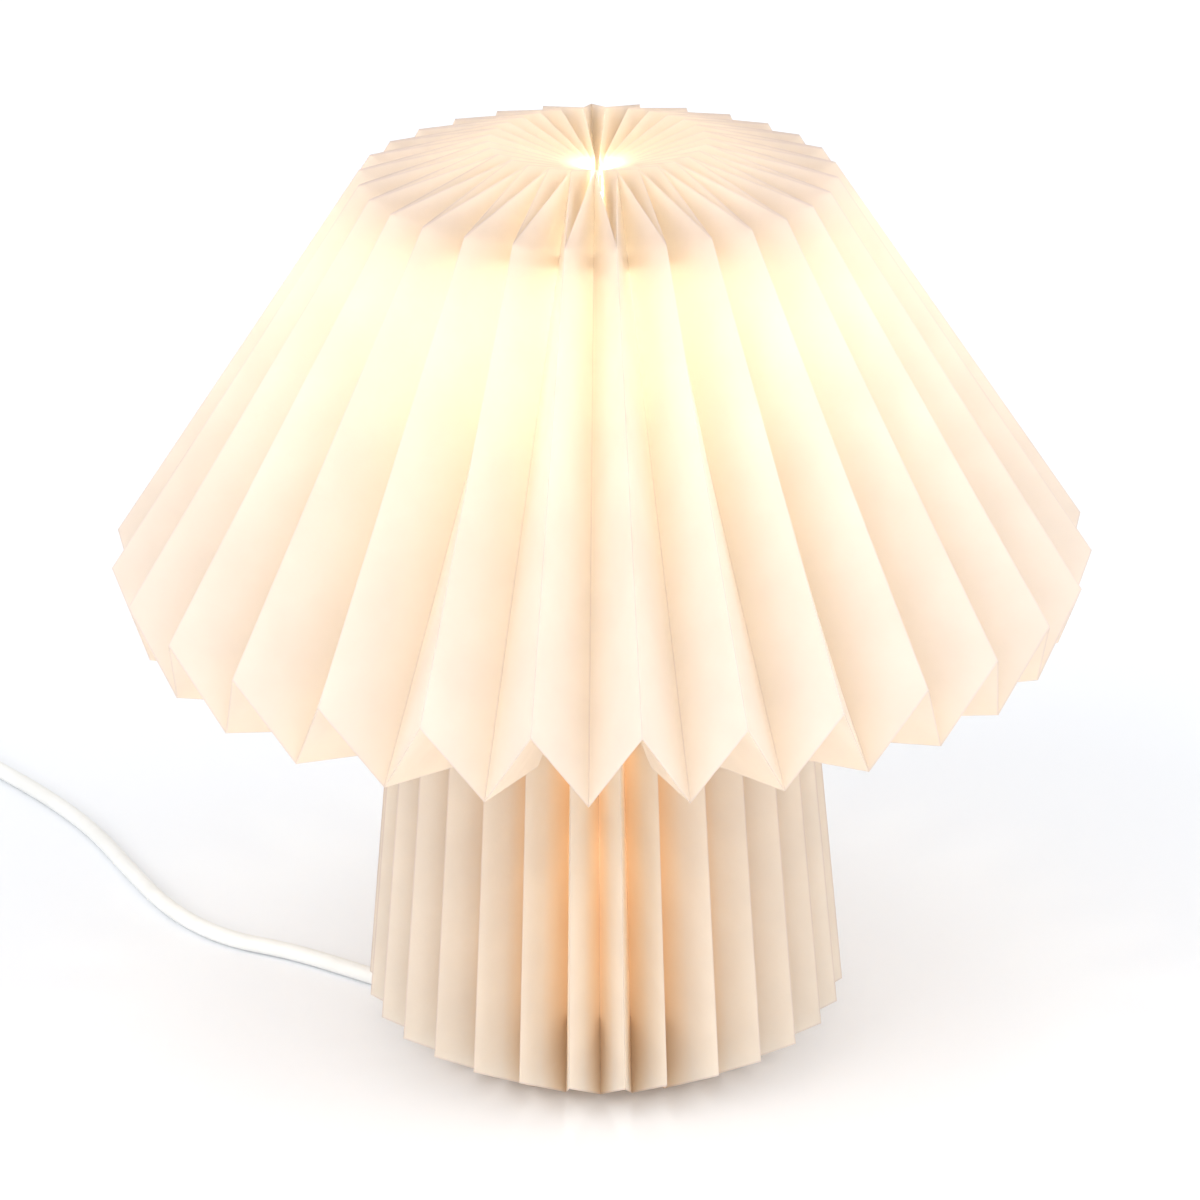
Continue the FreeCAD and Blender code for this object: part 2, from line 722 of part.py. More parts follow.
def holder_cap():
    """The lampholder's lower cap, screwed on the stem and locked by a grub screw."""
    ledge = f"({SHELL_INSIDE} - Sizes.HolderLedge)"
    cap = turned("holder_cap", [
        (STEM_HOLE, HOLDER_BOTTOM),
        ("Sizes.HolderNeckRadius", HOLDER_BOTTOM),
        ("Sizes.HolderNeckRadius", f"{HOLDER_BOTTOM} + Sizes.HolderFlareHeight"),
        ("Sizes.HolderRadius", f"{HOLDER_BOTTOM} + Sizes.HolderShoulderHeight"),
        ("Sizes.HolderRadius", SHELL_BOTTOM),
        (ledge, SHELL_BOTTOM),
        (ledge, THREAD_TOP),
        (STEM_HOLE, THREAD_TOP),
    ])
    height = value_of(HOLDER_BOTTOM) + size("GrubHeight")
    surface = value_of(STEM_HOLE)
    hole = across("grub_hole", "Sizes.GrubRadius", "Sizes.HolderNeckRadius", Vector(0, 0, height))
    keep("holder_cap", cut("holder_cap_drilled", cap, hole))
    keep("grub_screw", across("grub_rod", "Sizes.GrubRadius", f"Sizes.HolderNeckRadius - {STEM_HOLE}",
                              Vector(surface, 0, height)))


def lampholder():
    """The screw lampholder: shell, insulating insert, metal screw shell, contacts and shade rings."""
    mouth = "(Sizes.ScrewShellRadius + Sizes.ScrewShellWall + Sizes.HolderMouthGap)"
    keep("holder_shell", turned("holder_shell", [
        (SHELL_INSIDE, SHELL_BOTTOM),
        ("Sizes.HolderRadius", SHELL_BOTTOM),
        ("Sizes.HolderRadius", SHELL_TOP),
        (mouth, SHELL_TOP),
        (mouth, f"{SHELL_TOP} - Sizes.HolderLip"),
        (SHELL_INSIDE, f"{SHELL_TOP} - Sizes.HolderLip"),
    ]))
    insert = cylinder("insert_disc", f"{SHELL_INSIDE} - Sizes.RunningGap", "Sizes.InsertThickness",
                      SHELL_BOTTOM)
    screws = []
    holes = []
    for side in (-1, 1):
        label = "left" if side < 0 else "right"
        spot = f"{side} * Sizes.TerminalCircle"
        hole = cylinder(f"terminal_hole_{label}", "Sizes.TerminalRadius", "Sizes.TerminalLength",
                        SHELL_BOTTOM)
        rod = cylinder(f"terminal_rod_{label}", "Sizes.TerminalRadius", "Sizes.TerminalLength",
                       SHELL_BOTTOM)
        head = cylinder(f"terminal_head_{label}", "Sizes.TerminalHeadRadius", "Sizes.TerminalHeadHeight",
                        f"{SHELL_BOTTOM} - Sizes.TerminalHeadHeight")
        for thing in (hole, rod, head):
            thing.setExpression("Placement.Base.x", spot)
        holes.append(hole)
        screws.append(fuse(f"terminal_screw_{label}", [rod, head]))
    keep("holder_insert", cut("insert_drilled", insert, fuse("terminal_holes", holes)))
    compound("terminal_screws", screws)
    keep("screw_shell", ring("screw_shell", "Sizes.ScrewShellRadius + Sizes.ScrewShellWall",
                             "Sizes.ScrewShellRadius", "Sizes.ScrewShellLength", INSERT_TOP))
    keep("centre_contact", cylinder("contact_stud", "Sizes.ContactRadius", "Sizes.ContactHeight",
                                    INSERT_TOP))
    grip = "Sizes.HolderRadius + Sizes.RunningGap"
    for name, bottom in (("shade_ring_lower", RING_LOWER), ("shade_ring_upper", RING_UPPER)):
        keep(name, ring(name, f"{grip} + Sizes.RingWidth", grip, "Sizes.RingThickness", bottom))


# ---------------------------------------------------------------- paths for wire and cord


def corner_arc(start, corner, end):
    """The arc that touches two runs of equal length at start and end and rounds their corner."""
    reach = (start - corner).Length
    bisector = (start - corner).normalize() + (end - corner).normalize()
    half = math.acos(bisector.Length / 2)
    radius = reach * math.tan(half)
    top = corner + bisector.normalize() * (reach / math.cos(half) - radius)
    return Part.Arc(start, top, end).toShape(), radius


def rounded_path(points, radius=None):
    """Straight runs joined by tangent arcs, each as large as 0.45 of its shorter run allows."""
    edges = []
    found = []
    here = points[0]
    for before, corner, after in zip(points, points[1:], points[2:]):
        inward = before - corner
        outgoing = after - corner
        half_turn = (math.pi - inward.getAngle(outgoing)) / 2
        reach = 0.45 * min(inward.Length, outgoing.Length)
        if radius:
            reach = radius * math.tan(half_turn)
        start = corner + inward.normalize() * reach
        end = corner + outgoing.normalize() * reach
        arc, arc_radius = corner_arc(start, corner, end)
        edges += [Part.LineSegment(here, start).toShape(), arc]
        found.append(arc_radius)
        here = end
    edges.append(Part.LineSegment(here, points[-1]).toShape())
    return Part.Wire(edges), found


def tube(path, diameter, heading):
    """A round solid along a path that starts with a heading."""
    section = Part.Circle(path.Vertexes[0].Point, heading, diameter / 2)
    return path.makePipeShell([Part.Wire(section.toShape())], True, False)


def path_part(name, points, diameter, radius=None):
    """A wire or cord along a rounded path, with its radii and its volume printed."""
    path, found = rounded_path(points, radius)
    solid = tube(path, diameter, points[1] - points[0])
    ratio = solid.Volume / (math.pi * diameter ** 2 / 4 * path.Length)
    shown = " ".join(f"{arc_radius:.1f}" for arc_radius in found)
    print(f"{name}: length {path.Length:.1f}, radii {shown}, volume ratio {ratio:.4f}")
    thing = doc.addObject("Part::Feature", f"{name}_path")
    thing.Shape = solid
    keep(name, thing)


# ---------------------------------------------------------------- wire carrier


def carrier():
    """The wire carrier: a fitter plate on the lampholder, the arms and the hoop under the shade."""
    keep("carrier_fitter", ring("carrier_fitter", "Sizes.FitterRadius",
                                "Sizes.HolderRadius + Sizes.FitterGap", "Sizes.FitterThickness",
                                FITTER_BOTTOM))
    wire = size("WireDiameter")
    spots = shade_outline()
    (keel, keel_height), (shoulder, shoulder_height) = spots["keel"], spots["shoulder"]
    slope = (shoulder_height - keel_height) / (shoulder - keel)
    seat = (wire / 2 + size("PaperSeat")) * math.hypot(1, slope)
    hoop_height = keel_height + slope * (size("HoopRadius") - keel) - seat
    hoop = doc.addObject("Part::Torus", "carrier_hoop_wire")
    bind(hoop, Radius1="Sizes.HoopRadius", Radius2="Sizes.WireDiameter / 2")
    hoop.Placement = Placement(Vector(0, 0, hoop_height), Rotation())
    keep("carrier_hoop", hoop)
    foot_height = value_of(RING_UPPER) + wire / 2
    knee = Vector(size("ArmKnee"), 0, foot_height)
    top = Vector(size("HoopRadius"), 0, hoop_height)
    tip = top - (top - knee).normalize() * (wire / 2)
    for number in range(int(size("ArmCount"))):
        turn = Rotation(Vector(0, 0, 1), size("ArmStartAngle") + 360 / size("ArmCount") * number)
        profile = [Vector(size("ArmFoot"), 0, foot_height), knee, tip]
        path_part(f"carrier_arm_{number + 1}", [turn.multVec(spot) for spot in profile], wire,
                  size("ArmBend"))


# ---------------------------------------------------------------- bulb


def bulb():
    """The bulb: contact tip, insulator, screw cap, plastic body, light board and opal globe."""
    keep("bulb_tip", cylinder("bulb_tip_stud", "Sizes.BulbTipRadius", "Sizes.BulbTipLength", TIP_BOTTOM))
    cone = doc.addObject("Part::Cone", "bulb_insulator_cone")
    bind(cone, Radius1="Sizes.BulbTipRadius", Radius2="Sizes.BulbCapRadius",
         Height="Sizes.BulbInsulator")
    keep("bulb_insulator", place_z(cone, INSULATOR_BOTTOM))
    cap_inside = "Sizes.BulbCapRadius - Sizes.BulbCapWall"
    keep("bulb_cap", ring("bulb_cap", "Sizes.BulbCapRadius", cap_inside, "Sizes.BulbCapLength",
                          BULB_CAP_BOTTOM))
    wall = "Sizes.BulbWall"
    taper_top = f"({GLOBE_BOTTOM} - Sizes.BulbBodyTaper)"
    keep("bulb_body", turned("bulb_body", [
        (f"{cap_inside} - {wall}", BULB_BODY_BOTTOM),
        ("Sizes.BulbNeckRadius", BULB_BODY_BOTTOM),
        (f"{GLOBE_RIM} - {wall} / 2", taper_top),
        (f"{GLOBE_RIM} + {wall} / 2", f"{GLOBE_BOTTOM} - {wall}"),
        (f"{GLOBE_RIM} + {wall} / 2", GLOBE_BOTTOM),
        (f"{GLOBE_RIM} - {wall} / 2", GLOBE_BOTTOM),
        (f"{GLOBE_RIM} - {wall} * 3 / 2", taper_top),
        (f"{cap_inside} - {wall}", f"{BULB_BODY_BOTTOM} + {wall}"),
    ]))
    keep("bulb_board", cylinder("bulb_board_disc", f"{GLOBE_RIM} - {wall} * 3 / 2", "Sizes.BoardThickness",
                                taper_top))
    shells = []
    for label, radius in (("outside", "Sizes.GlobeRadius"), ("inside", f"Sizes.GlobeRadius - {wall}")):
        ball = doc.addObject("Part::Sphere", f"bulb_globe_{label}")
        bind(ball, Radius=radius)
        shells.append(place_z(ball, f"{GLOBE_BOTTOM} + Sizes.GlobeCut"))
    below = cylinder("bulb_globe_below", "Sizes.GlobeRadius", "Sizes.GlobeRadius",
                     f"{GLOBE_BOTTOM} - Sizes.GlobeRadius")
    keep("bulb_globe", cut("bulb_globe_open", cut("bulb_globe_hollow", *shells), below))


# ---------------------------------------------------------------- cord


FLOOR_CORD = size("CordDiameter") / 2
COIL_PITCH = size("CordDiameter") + size("CoilGap")
SWITCH_CENTRE = Vector(-272.0, 232.0, 0)
SWITCH_HEADING = 143.0
COIL_CENTRE = Vector(-316.0, 135.0, 0)
PLUG_BACK = Vector(-354.5, 50.0, size("PlugThickness") / 2)
COIL_LEAD = Vector(0, -15.0, 0)
RELIEF_LEAD = Vector(0.5, 19.0, 0.5)

# The stretch on the table from the lamp to the switch, as the photograph shows it, then its
# course past the picture's edge.
NEAR_ROUTE = [(-67.5, 19.5), (-83.5, 30.5), (-104.0, 44.0), (-127.0, 53.5), (-146.5, 74.0),
              (-162.5, 104.0), (-178.5, 137.0), (-198.0, 165.0), (-217.0, 187.0)]
# The stretch between the switch and the coil.
MIDDLE_ROUTE = [(-328.0, 259.5), (-345.0, 250.0), (-355.0, 232.0), (-356.5, 203.0), (-354.5, 172.0)]


def on_table(points):
    """Points on the table, at the height of the cord's centre."""
    return [Vector(x, y, FLOOR_CORD) for x, y in points]


def switch_spot(side, beyond, height):
    """A point on the switch's long axis, beyond the face at its near (-1) or far (1) end."""
    angle = math.radians(SWITCH_HEADING)
    distance = side * (size("SwitchLength") / 2 + beyond)
    return SWITCH_CENTRE + Vector(distance * math.cos(angle), distance * math.sin(angle), height)


def switch_entry(side):
    """The cord's points from the table up into the switch's mouth."""
    mouth = size("SwitchSplit")
    return [switch_spot(side, size("SwitchApproach"), FLOOR_CORD),
            switch_spot(side, size("SwitchLead"), mouth),
            switch_spot(side, -size("SwitchInsert"), mouth)]


def coil_end(side):
    """Where the cord meets the coil: its lower end comes from +Y, its upper end leaves to -Y."""
    rise = COIL_PITCH if side < 0 else 0.0
    return COIL_CENTRE + Vector(-size("CoilRadius"), side * size("CordDiameter"), FLOOR_CORD + rise)


def tail_points():
    """The cord from the top of the coil to the plug, straight through the strain relief."""
    relief = PLUG_BACK + Vector(0, size("ReliefLength"), 0)
    return [coil_end(-1), coil_end(-1) + COIL_LEAD, relief + RELIEF_LEAD, relief, PLUG_BACK]


def cord_pieces():
    """The grommet, the cord inside the stem, and the stretches that lie on the table."""
    diameter = size("CordDiameter")
    slot_height = size("CordInSlot")
    edge = value_of(WEIGHT_RADIUS)
    lift = size("GrommetLift")
    gap = size("GrommetGap")
    block = box("grommet_block", "Sizes.GrommetLength", "Sizes.SlotWidth - 2 * Sizes.GrommetGap",
                "Sizes.PadHeight + Sizes.SlotDepth - Sizes.GrommetLift - Sizes.GrommetGap")
    corner = Vector(edge - size("GrommetLength"), gap - size("SlotWidth") / 2, lift)
    block.Placement = Placement(cord_turn().multVec(corner), cord_turn())
    hole = doc.addObject("Part::Cylinder", "grommet_hole")
    bind(hole, Radius="Sizes.CordDiameter / 2", Height=f"{WEIGHT_RADIUS} + 1")
    hole.Placement = Placement(Vector(0, 0, slot_height), Rotation(Vector(0, 0, 1), outward(1, 0)))
    keep("cord_grommet", cut("grommet_drilled", block, hole))
    top = value_of(SHELL_BOTTOM) - size("RiserHeadroom")
    path_part("cord_riser", [outward(edge, slot_height), Vector(0, 0, slot_height), Vector(0, 0, top)],
              diameter, size("RiserBend"))
    leaving = [outward(edge, slot_height), outward(edge + size("GrommetLength"), slot_height)]
    path_part("cord", leaving + on_table(NEAR_ROUTE) + switch_entry(-1)[1:], diameter)
    path_part("cord_middle", switch_entry(1)[:0:-1] + on_table(MIDDLE_ROUTE) + [coil_end(1)], diameter)
    path_part("cord_tail", tail_points(), diameter)


def half_turns(place, radii, downward, height):
    """Level half turns anticlockwise, one after another, from a place on the coil's X axis."""
    edges = []
    for radius in radii:
        side = 1 if downward else -1
        centre = COIL_CENTRE + Vector(place + side * radius, 0, height)
        near = centre - Vector(side * radius, 0, 0)
        far = centre + Vector(side * radius, 0, 0)
        edges.append(Part.Arc(near, centre - Vector(0, side * radius, 0), far).toShape())
        place += 2 * side * radius
        downward = not downward
    return edges, COIL_CENTRE + Vector(place, 0, height)


def climb(start, heading, end):
    """Two arcs that leave start along a heading and reach end against it."""
    reach = (end - start).Length / 2
    first = start + heading * reach
    last = end + heading * reach
    middle = (first + last) * 0.5
    return [corner_arc(start, first, middle)[0], corner_arc(middle, last, end)[0]]


def least_self_gap(path, diameter):
    """The least clear distance between turns, measured on points along the path."""
    spacing = 2.0
    count = int(path.Length / spacing)
    points = [spot for edge in path.Edges
              for spot in edge.discretize(max(3, int(edge.Length / spacing)))]
    skip = int(4 * diameter / spacing) + 4
    least = min((points[first] - points[last]).Length
                for first in range(len(points)) for last in range(first + skip, len(points)))
    print(f"coil: {count} steps, least gap to itself {least - diameter:.3f}")


def coil():
    """Spare cord wound inwards on the table, up half a turn, and outwards again on top."""
    steps = int(size("CoilHalfTurns"))
    radii = [size("CoilRadius") - COIL_PITCH / 2 * step for step in range(steps)]
    low = FLOOR_CORD
    high = FLOOR_CORD + COIL_PITCH
    inner = size("CoilRadius") - COIL_PITCH / 2 * steps
    inward, start_climb = half_turns(-size("CoilRadius"), radii, True, low)
    outgoing, finish = half_turns(inner, radii[:0:-1], False, high)
    end_climb = COIL_CENTRE + Vector(inner, 0, high)
    begin = COIL_CENTRE + Vector(-size("CoilRadius"), 0, low)
    edges = [Part.LineSegment(coil_end(1), begin).toShape()] + inward
    edges += climb(start_climb, Vector(0, -1, 0), end_climb) + outgoing
    edges.append(Part.LineSegment(finish, coil_end(-1)).toShape())
    path = Part.Wire(edges)
    least_self_gap(path, size("CordDiameter"))
    solid = tube(path, size("CordDiameter"), Vector(0, -1, 0))
    ratio = solid.Volume / (math.pi * size("CordDiameter") ** 2 / 4 * path.Length)
    print(f"cord_coil: length {path.Length:.1f}, volume ratio {ratio:.4f}")
    thing = doc.addObject("Part::Feature", "cord_coil_path")
    thing.Shape = solid
    keep("cord_coil", thing)


# ---------------------------------------------------------------- switch and plug


def rounded_box(name, length, width, height, corner, edge, edge_levels):
    """A block centred on its X and Y axes, its upright edges rounded and its rims bevelled."""
    block = box(f"{name}_block", length, width, height)
    bind(block, **{"Placement.Base.x": f"-({length}) / 2", "Placement.Base.y": f"-({width}) / 2"})
    doc.recompute()
    upright = [number for number, side in enumerate(block.Shape.Edges, start=1)
               if side.BoundBox.ZLength > side.BoundBox.XLength + side.BoundBox.YLength]
    rounded = doc.addObject("Part::Fillet", f"{name}_rounded")
    rounded.Base = block
    rounded.Edges = [(number, corner, corner) for number in upright]
    doc.recompute()
    rims = [number for number, side in enumerate(rounded.Shape.Edges, start=1)
            if side.BoundBox.ZLength < 1e-6
            and min(abs(side.BoundBox.ZMin - level) for level in edge_levels) < 1e-6]
    bevelled = doc.addObject("Part::Chamfer", f"{name}_bevelled")
    bevelled.Base = rounded
    bevelled.Edges = [(number, edge, edge) for number in rims]
    doc.recompute()
    return bevelled


def centred_box(name, length, width, height, bottom):
    """A plain block centred on its X and Y axes from a bottom height."""
    block = box(name, length, width, height)
    return bind(block, **{"Placement.Base.x": f"-({length}) / 2", "Placement.Base.y": f"-({width}) / 2",
                          "Placement.Base.z": bottom})


def screw_places(name, radius, height, bottom):
    """The two case screws' places, one each side of the cord, as cylinders."""
    things = []
    for side in (-1, 1):
        label = "near" if side < 0 else "far"
        thing = cylinder(f"{name}_{label}", radius, height, bottom)
        bind(thing, **{"Placement.Base.x": f"{side} * Sizes.CaseScrewAlong",
                       "Placement.Base.y": f"{side} * Sizes.CaseScrewAcross"})
        things.append(thing)
    return things


def switch_place(thing):
    """Put a piece of the switch where the switch lies."""
    thing.Placement = Placement(SWITCH_CENTRE, Rotation(Vector(0, 0, 1), SWITCH_HEADING))
    return thing


def mouth_hole(name):
    """The hole in which the cord passes both ends of the case."""
    length = "Sizes.SwitchLength"
    thing = across(name, "Sizes.CordDiameter / 2", length,
                   Vector(-size("SwitchLength") / 2, 0, size("SwitchSplit")))
    return thing


def switch_case():
    """The in-line switch's two shell halves and the two screws that hold them."""
    corner = size("SwitchCorner")
    edge = size("SwitchEdge")
    hollow_length = "Sizes.SwitchLength - 2 * Sizes.SwitchEndBlock"
    hollow_width = "Sizes.SwitchWidth - 2 * Sizes.SwitchWall"
    rod_top = "Sizes.CaseScrewLength"
    lower = rounded_box("switch_lower", "Sizes.SwitchLength", "Sizes.SwitchWidth", "Sizes.SwitchSplit",
                        corner, edge, [0.0])
    lower_cuts = [centred_box("lower_hollow", hollow_length, hollow_width,
                              "Sizes.SwitchSplit - Sizes.SwitchWall", "Sizes.SwitchWall"),
                  mouth_hole("lower_mouth")]
    lower_cuts += screw_places("lower_screw_hole", "Sizes.CaseScrewRadius", "Sizes.SwitchSplit", "0")
    lower_cuts += screw_places("lower_screw_sink", "Sizes.CaseScrewHeadRadius", "Sizes.CaseScrewHead", "0")
    keep("switch_lower", switch_place(cut("switch_lower_half", lower, fuse("lower_cuts", lower_cuts))))
    upper_height = "Sizes.SwitchHeight - Sizes.SwitchSplit"
    upper = rounded_box("switch_upper", "Sizes.SwitchLength", "Sizes.SwitchWidth", upper_height,
                        corner, edge, [size("SwitchHeight") - size("SwitchSplit")])
    place_z(upper, "Sizes.SwitchSplit")
    upper_cuts = [centred_box("upper_hollow", hollow_length, hollow_width,
                              f"{upper_height} - Sizes.SwitchWall", "Sizes.SwitchSplit"),
                  centred_box("upper_window", "Sizes.WindowLength", "Sizes.WindowWidth",
                              "Sizes.SwitchHeight", "Sizes.SwitchSplit"),
                  mouth_hole("upper_mouth")]
    upper_cuts += screw_places("upper_screw_hole", "Sizes.CaseScrewRadius",
                               f"{rod_top} - Sizes.SwitchSplit + Sizes.CaseScrewPilot", "Sizes.SwitchSplit")
    keep("switch_upper", switch_place(cut("switch_upper_half", upper, fuse("upper_cuts", upper_cuts))))
    rods = screw_places("case_screw_rod", "Sizes.CaseScrewRadius", f"{rod_top} - Sizes.SwitchEdge / 4",
                        "Sizes.SwitchEdge / 4")
    heads = screw_places("case_screw_head", "Sizes.CaseScrewHeadRadius - Sizes.RunningGap",
                         "Sizes.CaseScrewHead - Sizes.SwitchEdge / 4", "Sizes.SwitchEdge / 4")
    screws = [fuse(f"case_screw_{number}", pair) for number, pair in enumerate(zip(rods, heads), start=1)]
    switch_place(compound("switch_screws", screws))


def switch_rocker():
    """The rocker: a slice of a round bar about its own pivot, with a saddle on top, tipped to on."""
    width = "Sizes.WindowWidth - 2 * Sizes.RockerGap"
    barrel = doc.addObject("Part::Cylinder", "rocker_barrel")
    bind(barrel, Radius="Sizes.WindowLength / 2 - Sizes.RockerGap", Height=width)
    half_width = size("WindowWidth") / 2 - size("RockerGap")
    barrel.Placement = Placement(Vector(0, half_width, 0), Rotation(Vector(1, 0, 0), 90))
    long_box = "2 * Sizes.WindowLength"
    reach = size("WindowLength")
    cuts = [centred_box("rocker_below", long_box, long_box, "Sizes.WindowLength",
                        "-Sizes.RockerDepth - Sizes.WindowLength")]
    for label, spin in (("right", 0), ("left", 180)):
        facet = box(f"rocker_facet_{label}", long_box, long_box, long_box)
        turn = Rotation(Vector(0, 0, 1), spin) * Rotation(Vector(0, 1, 0), -size("RockerSlope"))
        facet.Placement = Placement(turn.multVec(Vector(0, -reach, 0)) + Vector(0, 0, size("RockerSaddle")),
                                    turn)
        cuts.append(facet)
    rocker = cut("rocker_saddled", barrel, fuse("rocker_cuts", cuts))
    pivot = Vector(0, 0, size("SwitchHeight") - size("RockerPivotDrop"))
    heading = Rotation(Vector(0, 0, 1), SWITCH_HEADING)
    tip = Rotation(Vector(0, 1, 0), size("RockerTilt"))
    rocker.Placement = Placement(SWITCH_CENTRE + pivot, heading * tip)
    keep("switch_rocker", rocker)


def plug():
    """The flat two-pin plug and its strain relief, in line with the end of the cord."""
    turn = Rotation(Vector(0, 0, 1), -90)
    body = rounded_box("plug", "Sizes.PlugLength", "Sizes.PlugWidth", "Sizes.PlugThickness",
                       size("PlugCorner"), size("PlugEdge"), [0.0, size("PlugThickness")])
    base = Vector(PLUG_BACK.x, PLUG_BACK.y - size("PlugLength") / 2, 0)
    body.Placement = Placement(base, turn)
    keep("plug_body", body)
    pins = []
    for side in (-1, 1):
        label = "left" if side < 0 else "right"
        shaft_start = Vector(size("PlugLength"), side * size("PinSpacing") / 2, 0)
        shaft = across(f"plug_pin_{label}", "Sizes.PinDiameter / 2", "Sizes.PinLength - Sizes.PinTip",
                       shaft_start)
        tip = doc.addObject("Part::Cone", f"plug_pin_tip_{label}")
        bind(tip, Radius1="Sizes.PinDiameter / 2", Radius2="Sizes.PinDiameter / 2 - Sizes.PinTip",
             Height="Sizes.PinTip")
        tip.Placement = Placement(shaft_start + Vector(size("PinLength") - size("PinTip"), 0, 0),
                                  Rotation(Vector(0, 1, 0), 90))
        pins.append(fuse(f"plug_pin_whole_{label}", [shaft, tip]))
    compound("plug_pins", pins).Placement = Placement(PLUG_BACK, turn)
    sleeve = doc.addObject("Part::Cone", "relief_sleeve")
    bind(sleeve, Radius1="Sizes.CordDiameter / 2 + Sizes.ReliefWall",
         Radius2="Sizes.CordDiameter / 2 + Sizes.ReliefWall - Sizes.ReliefTaper",
         Height="Sizes.ReliefLength")
    bore = cylinder("relief_bore", "Sizes.CordDiameter / 2", "Sizes.ReliefLength", "0")
    relief = cut("relief_hollow", sleeve, bore)
    relief.Placement = Placement(PLUG_BACK, Rotation(Vector(1, 0, 0), -90))
    keep("plug_relief", relief)


# ---------------------------------------------------------------- whole lamp


def write_parts():
    """Check every object, then write each sub-part's shape to its own file."""
    doc.recompute()
    failed = [thing.Label for thing in doc.Objects if {"Invalid", "Error"} & set(thing.State)]
    failed += [name for name, thing in PARTS.items() if thing.Shape.isNull() or not thing.Shape.isValid()]
    if failed:
        raise RuntimeError(f"failed to build: {failed}")
    os.makedirs("parts", exist_ok=True)
    for name, thing in PARTS.items():
        shape = thing.Shape
        shape.exportStep(os.path.join("parts", f"{thing.Label}.step"))
        limits = shape.BoundBox
        print(f"{name}: solids {len(shape.Solids)}, volume {shape.Volume:.1f}, z {limits.ZMin:.2f}"
              f" to {limits.ZMax:.2f}")


base_paper()
shade_paper()
shade_underside()
shade_thread()
base_weight()
foot_pads()
stem()
support_disc()
holder_cap()
lampholder()
carrier()
bulb()
cord_pieces()
coil()
switch_case()
switch_rocker()
plug()
write_parts()
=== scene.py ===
# %% [markdown]
# # A pleated paper table lamp
# The lamp is two pieces of folded paper: a pleated tube that stands on the table, and a wide pleated
# cone that rests on a wire hoop above it and is folded back at its shoulder into a shallow funnel. A
# warm bulb glows inside. This script puts finished surfaces on the measured model in model.glb:
# paper that lets light through, a smooth white cord, and the fittings inside. Lengths are in metres;
# the origin is on the table under the middle of the lamp.

# %% Load the measured model
import math

import bpy
import numpy as np
from mathutils import Matrix, Vector


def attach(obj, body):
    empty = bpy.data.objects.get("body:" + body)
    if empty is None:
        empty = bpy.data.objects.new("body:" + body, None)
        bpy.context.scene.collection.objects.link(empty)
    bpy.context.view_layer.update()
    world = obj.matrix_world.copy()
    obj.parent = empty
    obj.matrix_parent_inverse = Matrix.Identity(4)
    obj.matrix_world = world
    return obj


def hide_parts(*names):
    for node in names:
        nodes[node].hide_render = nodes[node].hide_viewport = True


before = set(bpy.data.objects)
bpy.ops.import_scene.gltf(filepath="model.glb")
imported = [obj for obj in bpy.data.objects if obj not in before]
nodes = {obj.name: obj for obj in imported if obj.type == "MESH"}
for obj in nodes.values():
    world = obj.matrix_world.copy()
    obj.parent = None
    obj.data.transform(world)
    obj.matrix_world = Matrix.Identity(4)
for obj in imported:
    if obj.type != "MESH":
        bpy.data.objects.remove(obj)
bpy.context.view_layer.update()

scene = bpy.context.scene
mm = 0.001


def new_object(name, data):
    """An object of that name that shows the data, linked to the scene."""
    thing = bpy.data.objects.new(name, data)
    scene.collection.objects.link(thing)
    return thing


# %% [markdown]
# ## The camera
# The photograph is square and was taken from the front, a little above the shade. The camera's place
# follows from how the two rings of folds and the edge on the table look in it: 1.26 m in front,
# 0.68 m up, tipped down by 22.8 degrees, with a long lens that keeps the far side of the shade nearly
# as wide as the near side. A camera could also be aimed with a constraint, but a fixed matrix holds
# the slight roll too.

# %% Camera
view_distance = 1.2642
view_height = 0.6786
view_aside = -0.0006
view_pitch = math.radians(22.84)
view_roll = -0.00955
lens_length = 133.03

camera_data = bpy.data.cameras.new("photo_camera")
camera_data.sensor_width = 36.0
camera_data.lens = lens_length
camera_data.clip_start = 0.05
camera = new_object("photo_camera", camera_data)
tip = Matrix.Rotation(math.pi / 2 - view_pitch, 4, "X") @ Matrix.Rotation(view_roll, 4, "Z")
camera.matrix_world = Matrix.Translation((view_aside, -view_distance, view_height)) @ tip
bpy.context.scene.camera = camera
print("camera at", [round(value, 3) for value in camera.matrix_world.translation])

# %% [markdown]
# ## A workbench for materials
# Each finish starts from one Principled shader. The numbers that are the same all over a surface are
# written straight on it; patterns come from noise that reads Object coordinates, which are metres
# here, so a scale of 1000 is about one bump a millimetre. The nodes could be set up one by one for
# each finish; the class only saves typing, with a method for each kind of node that they share.

# %% Finish


def tone(red, green, blue):
    """A screen colour, 0 to 255, in linear light: ((c + 0.055) / 1.055) to the power 2.4."""
    return tuple(((value / 255 + 0.055) / 1.055) ** 2.4 for value in (red, green, blue)) + (1.0,)


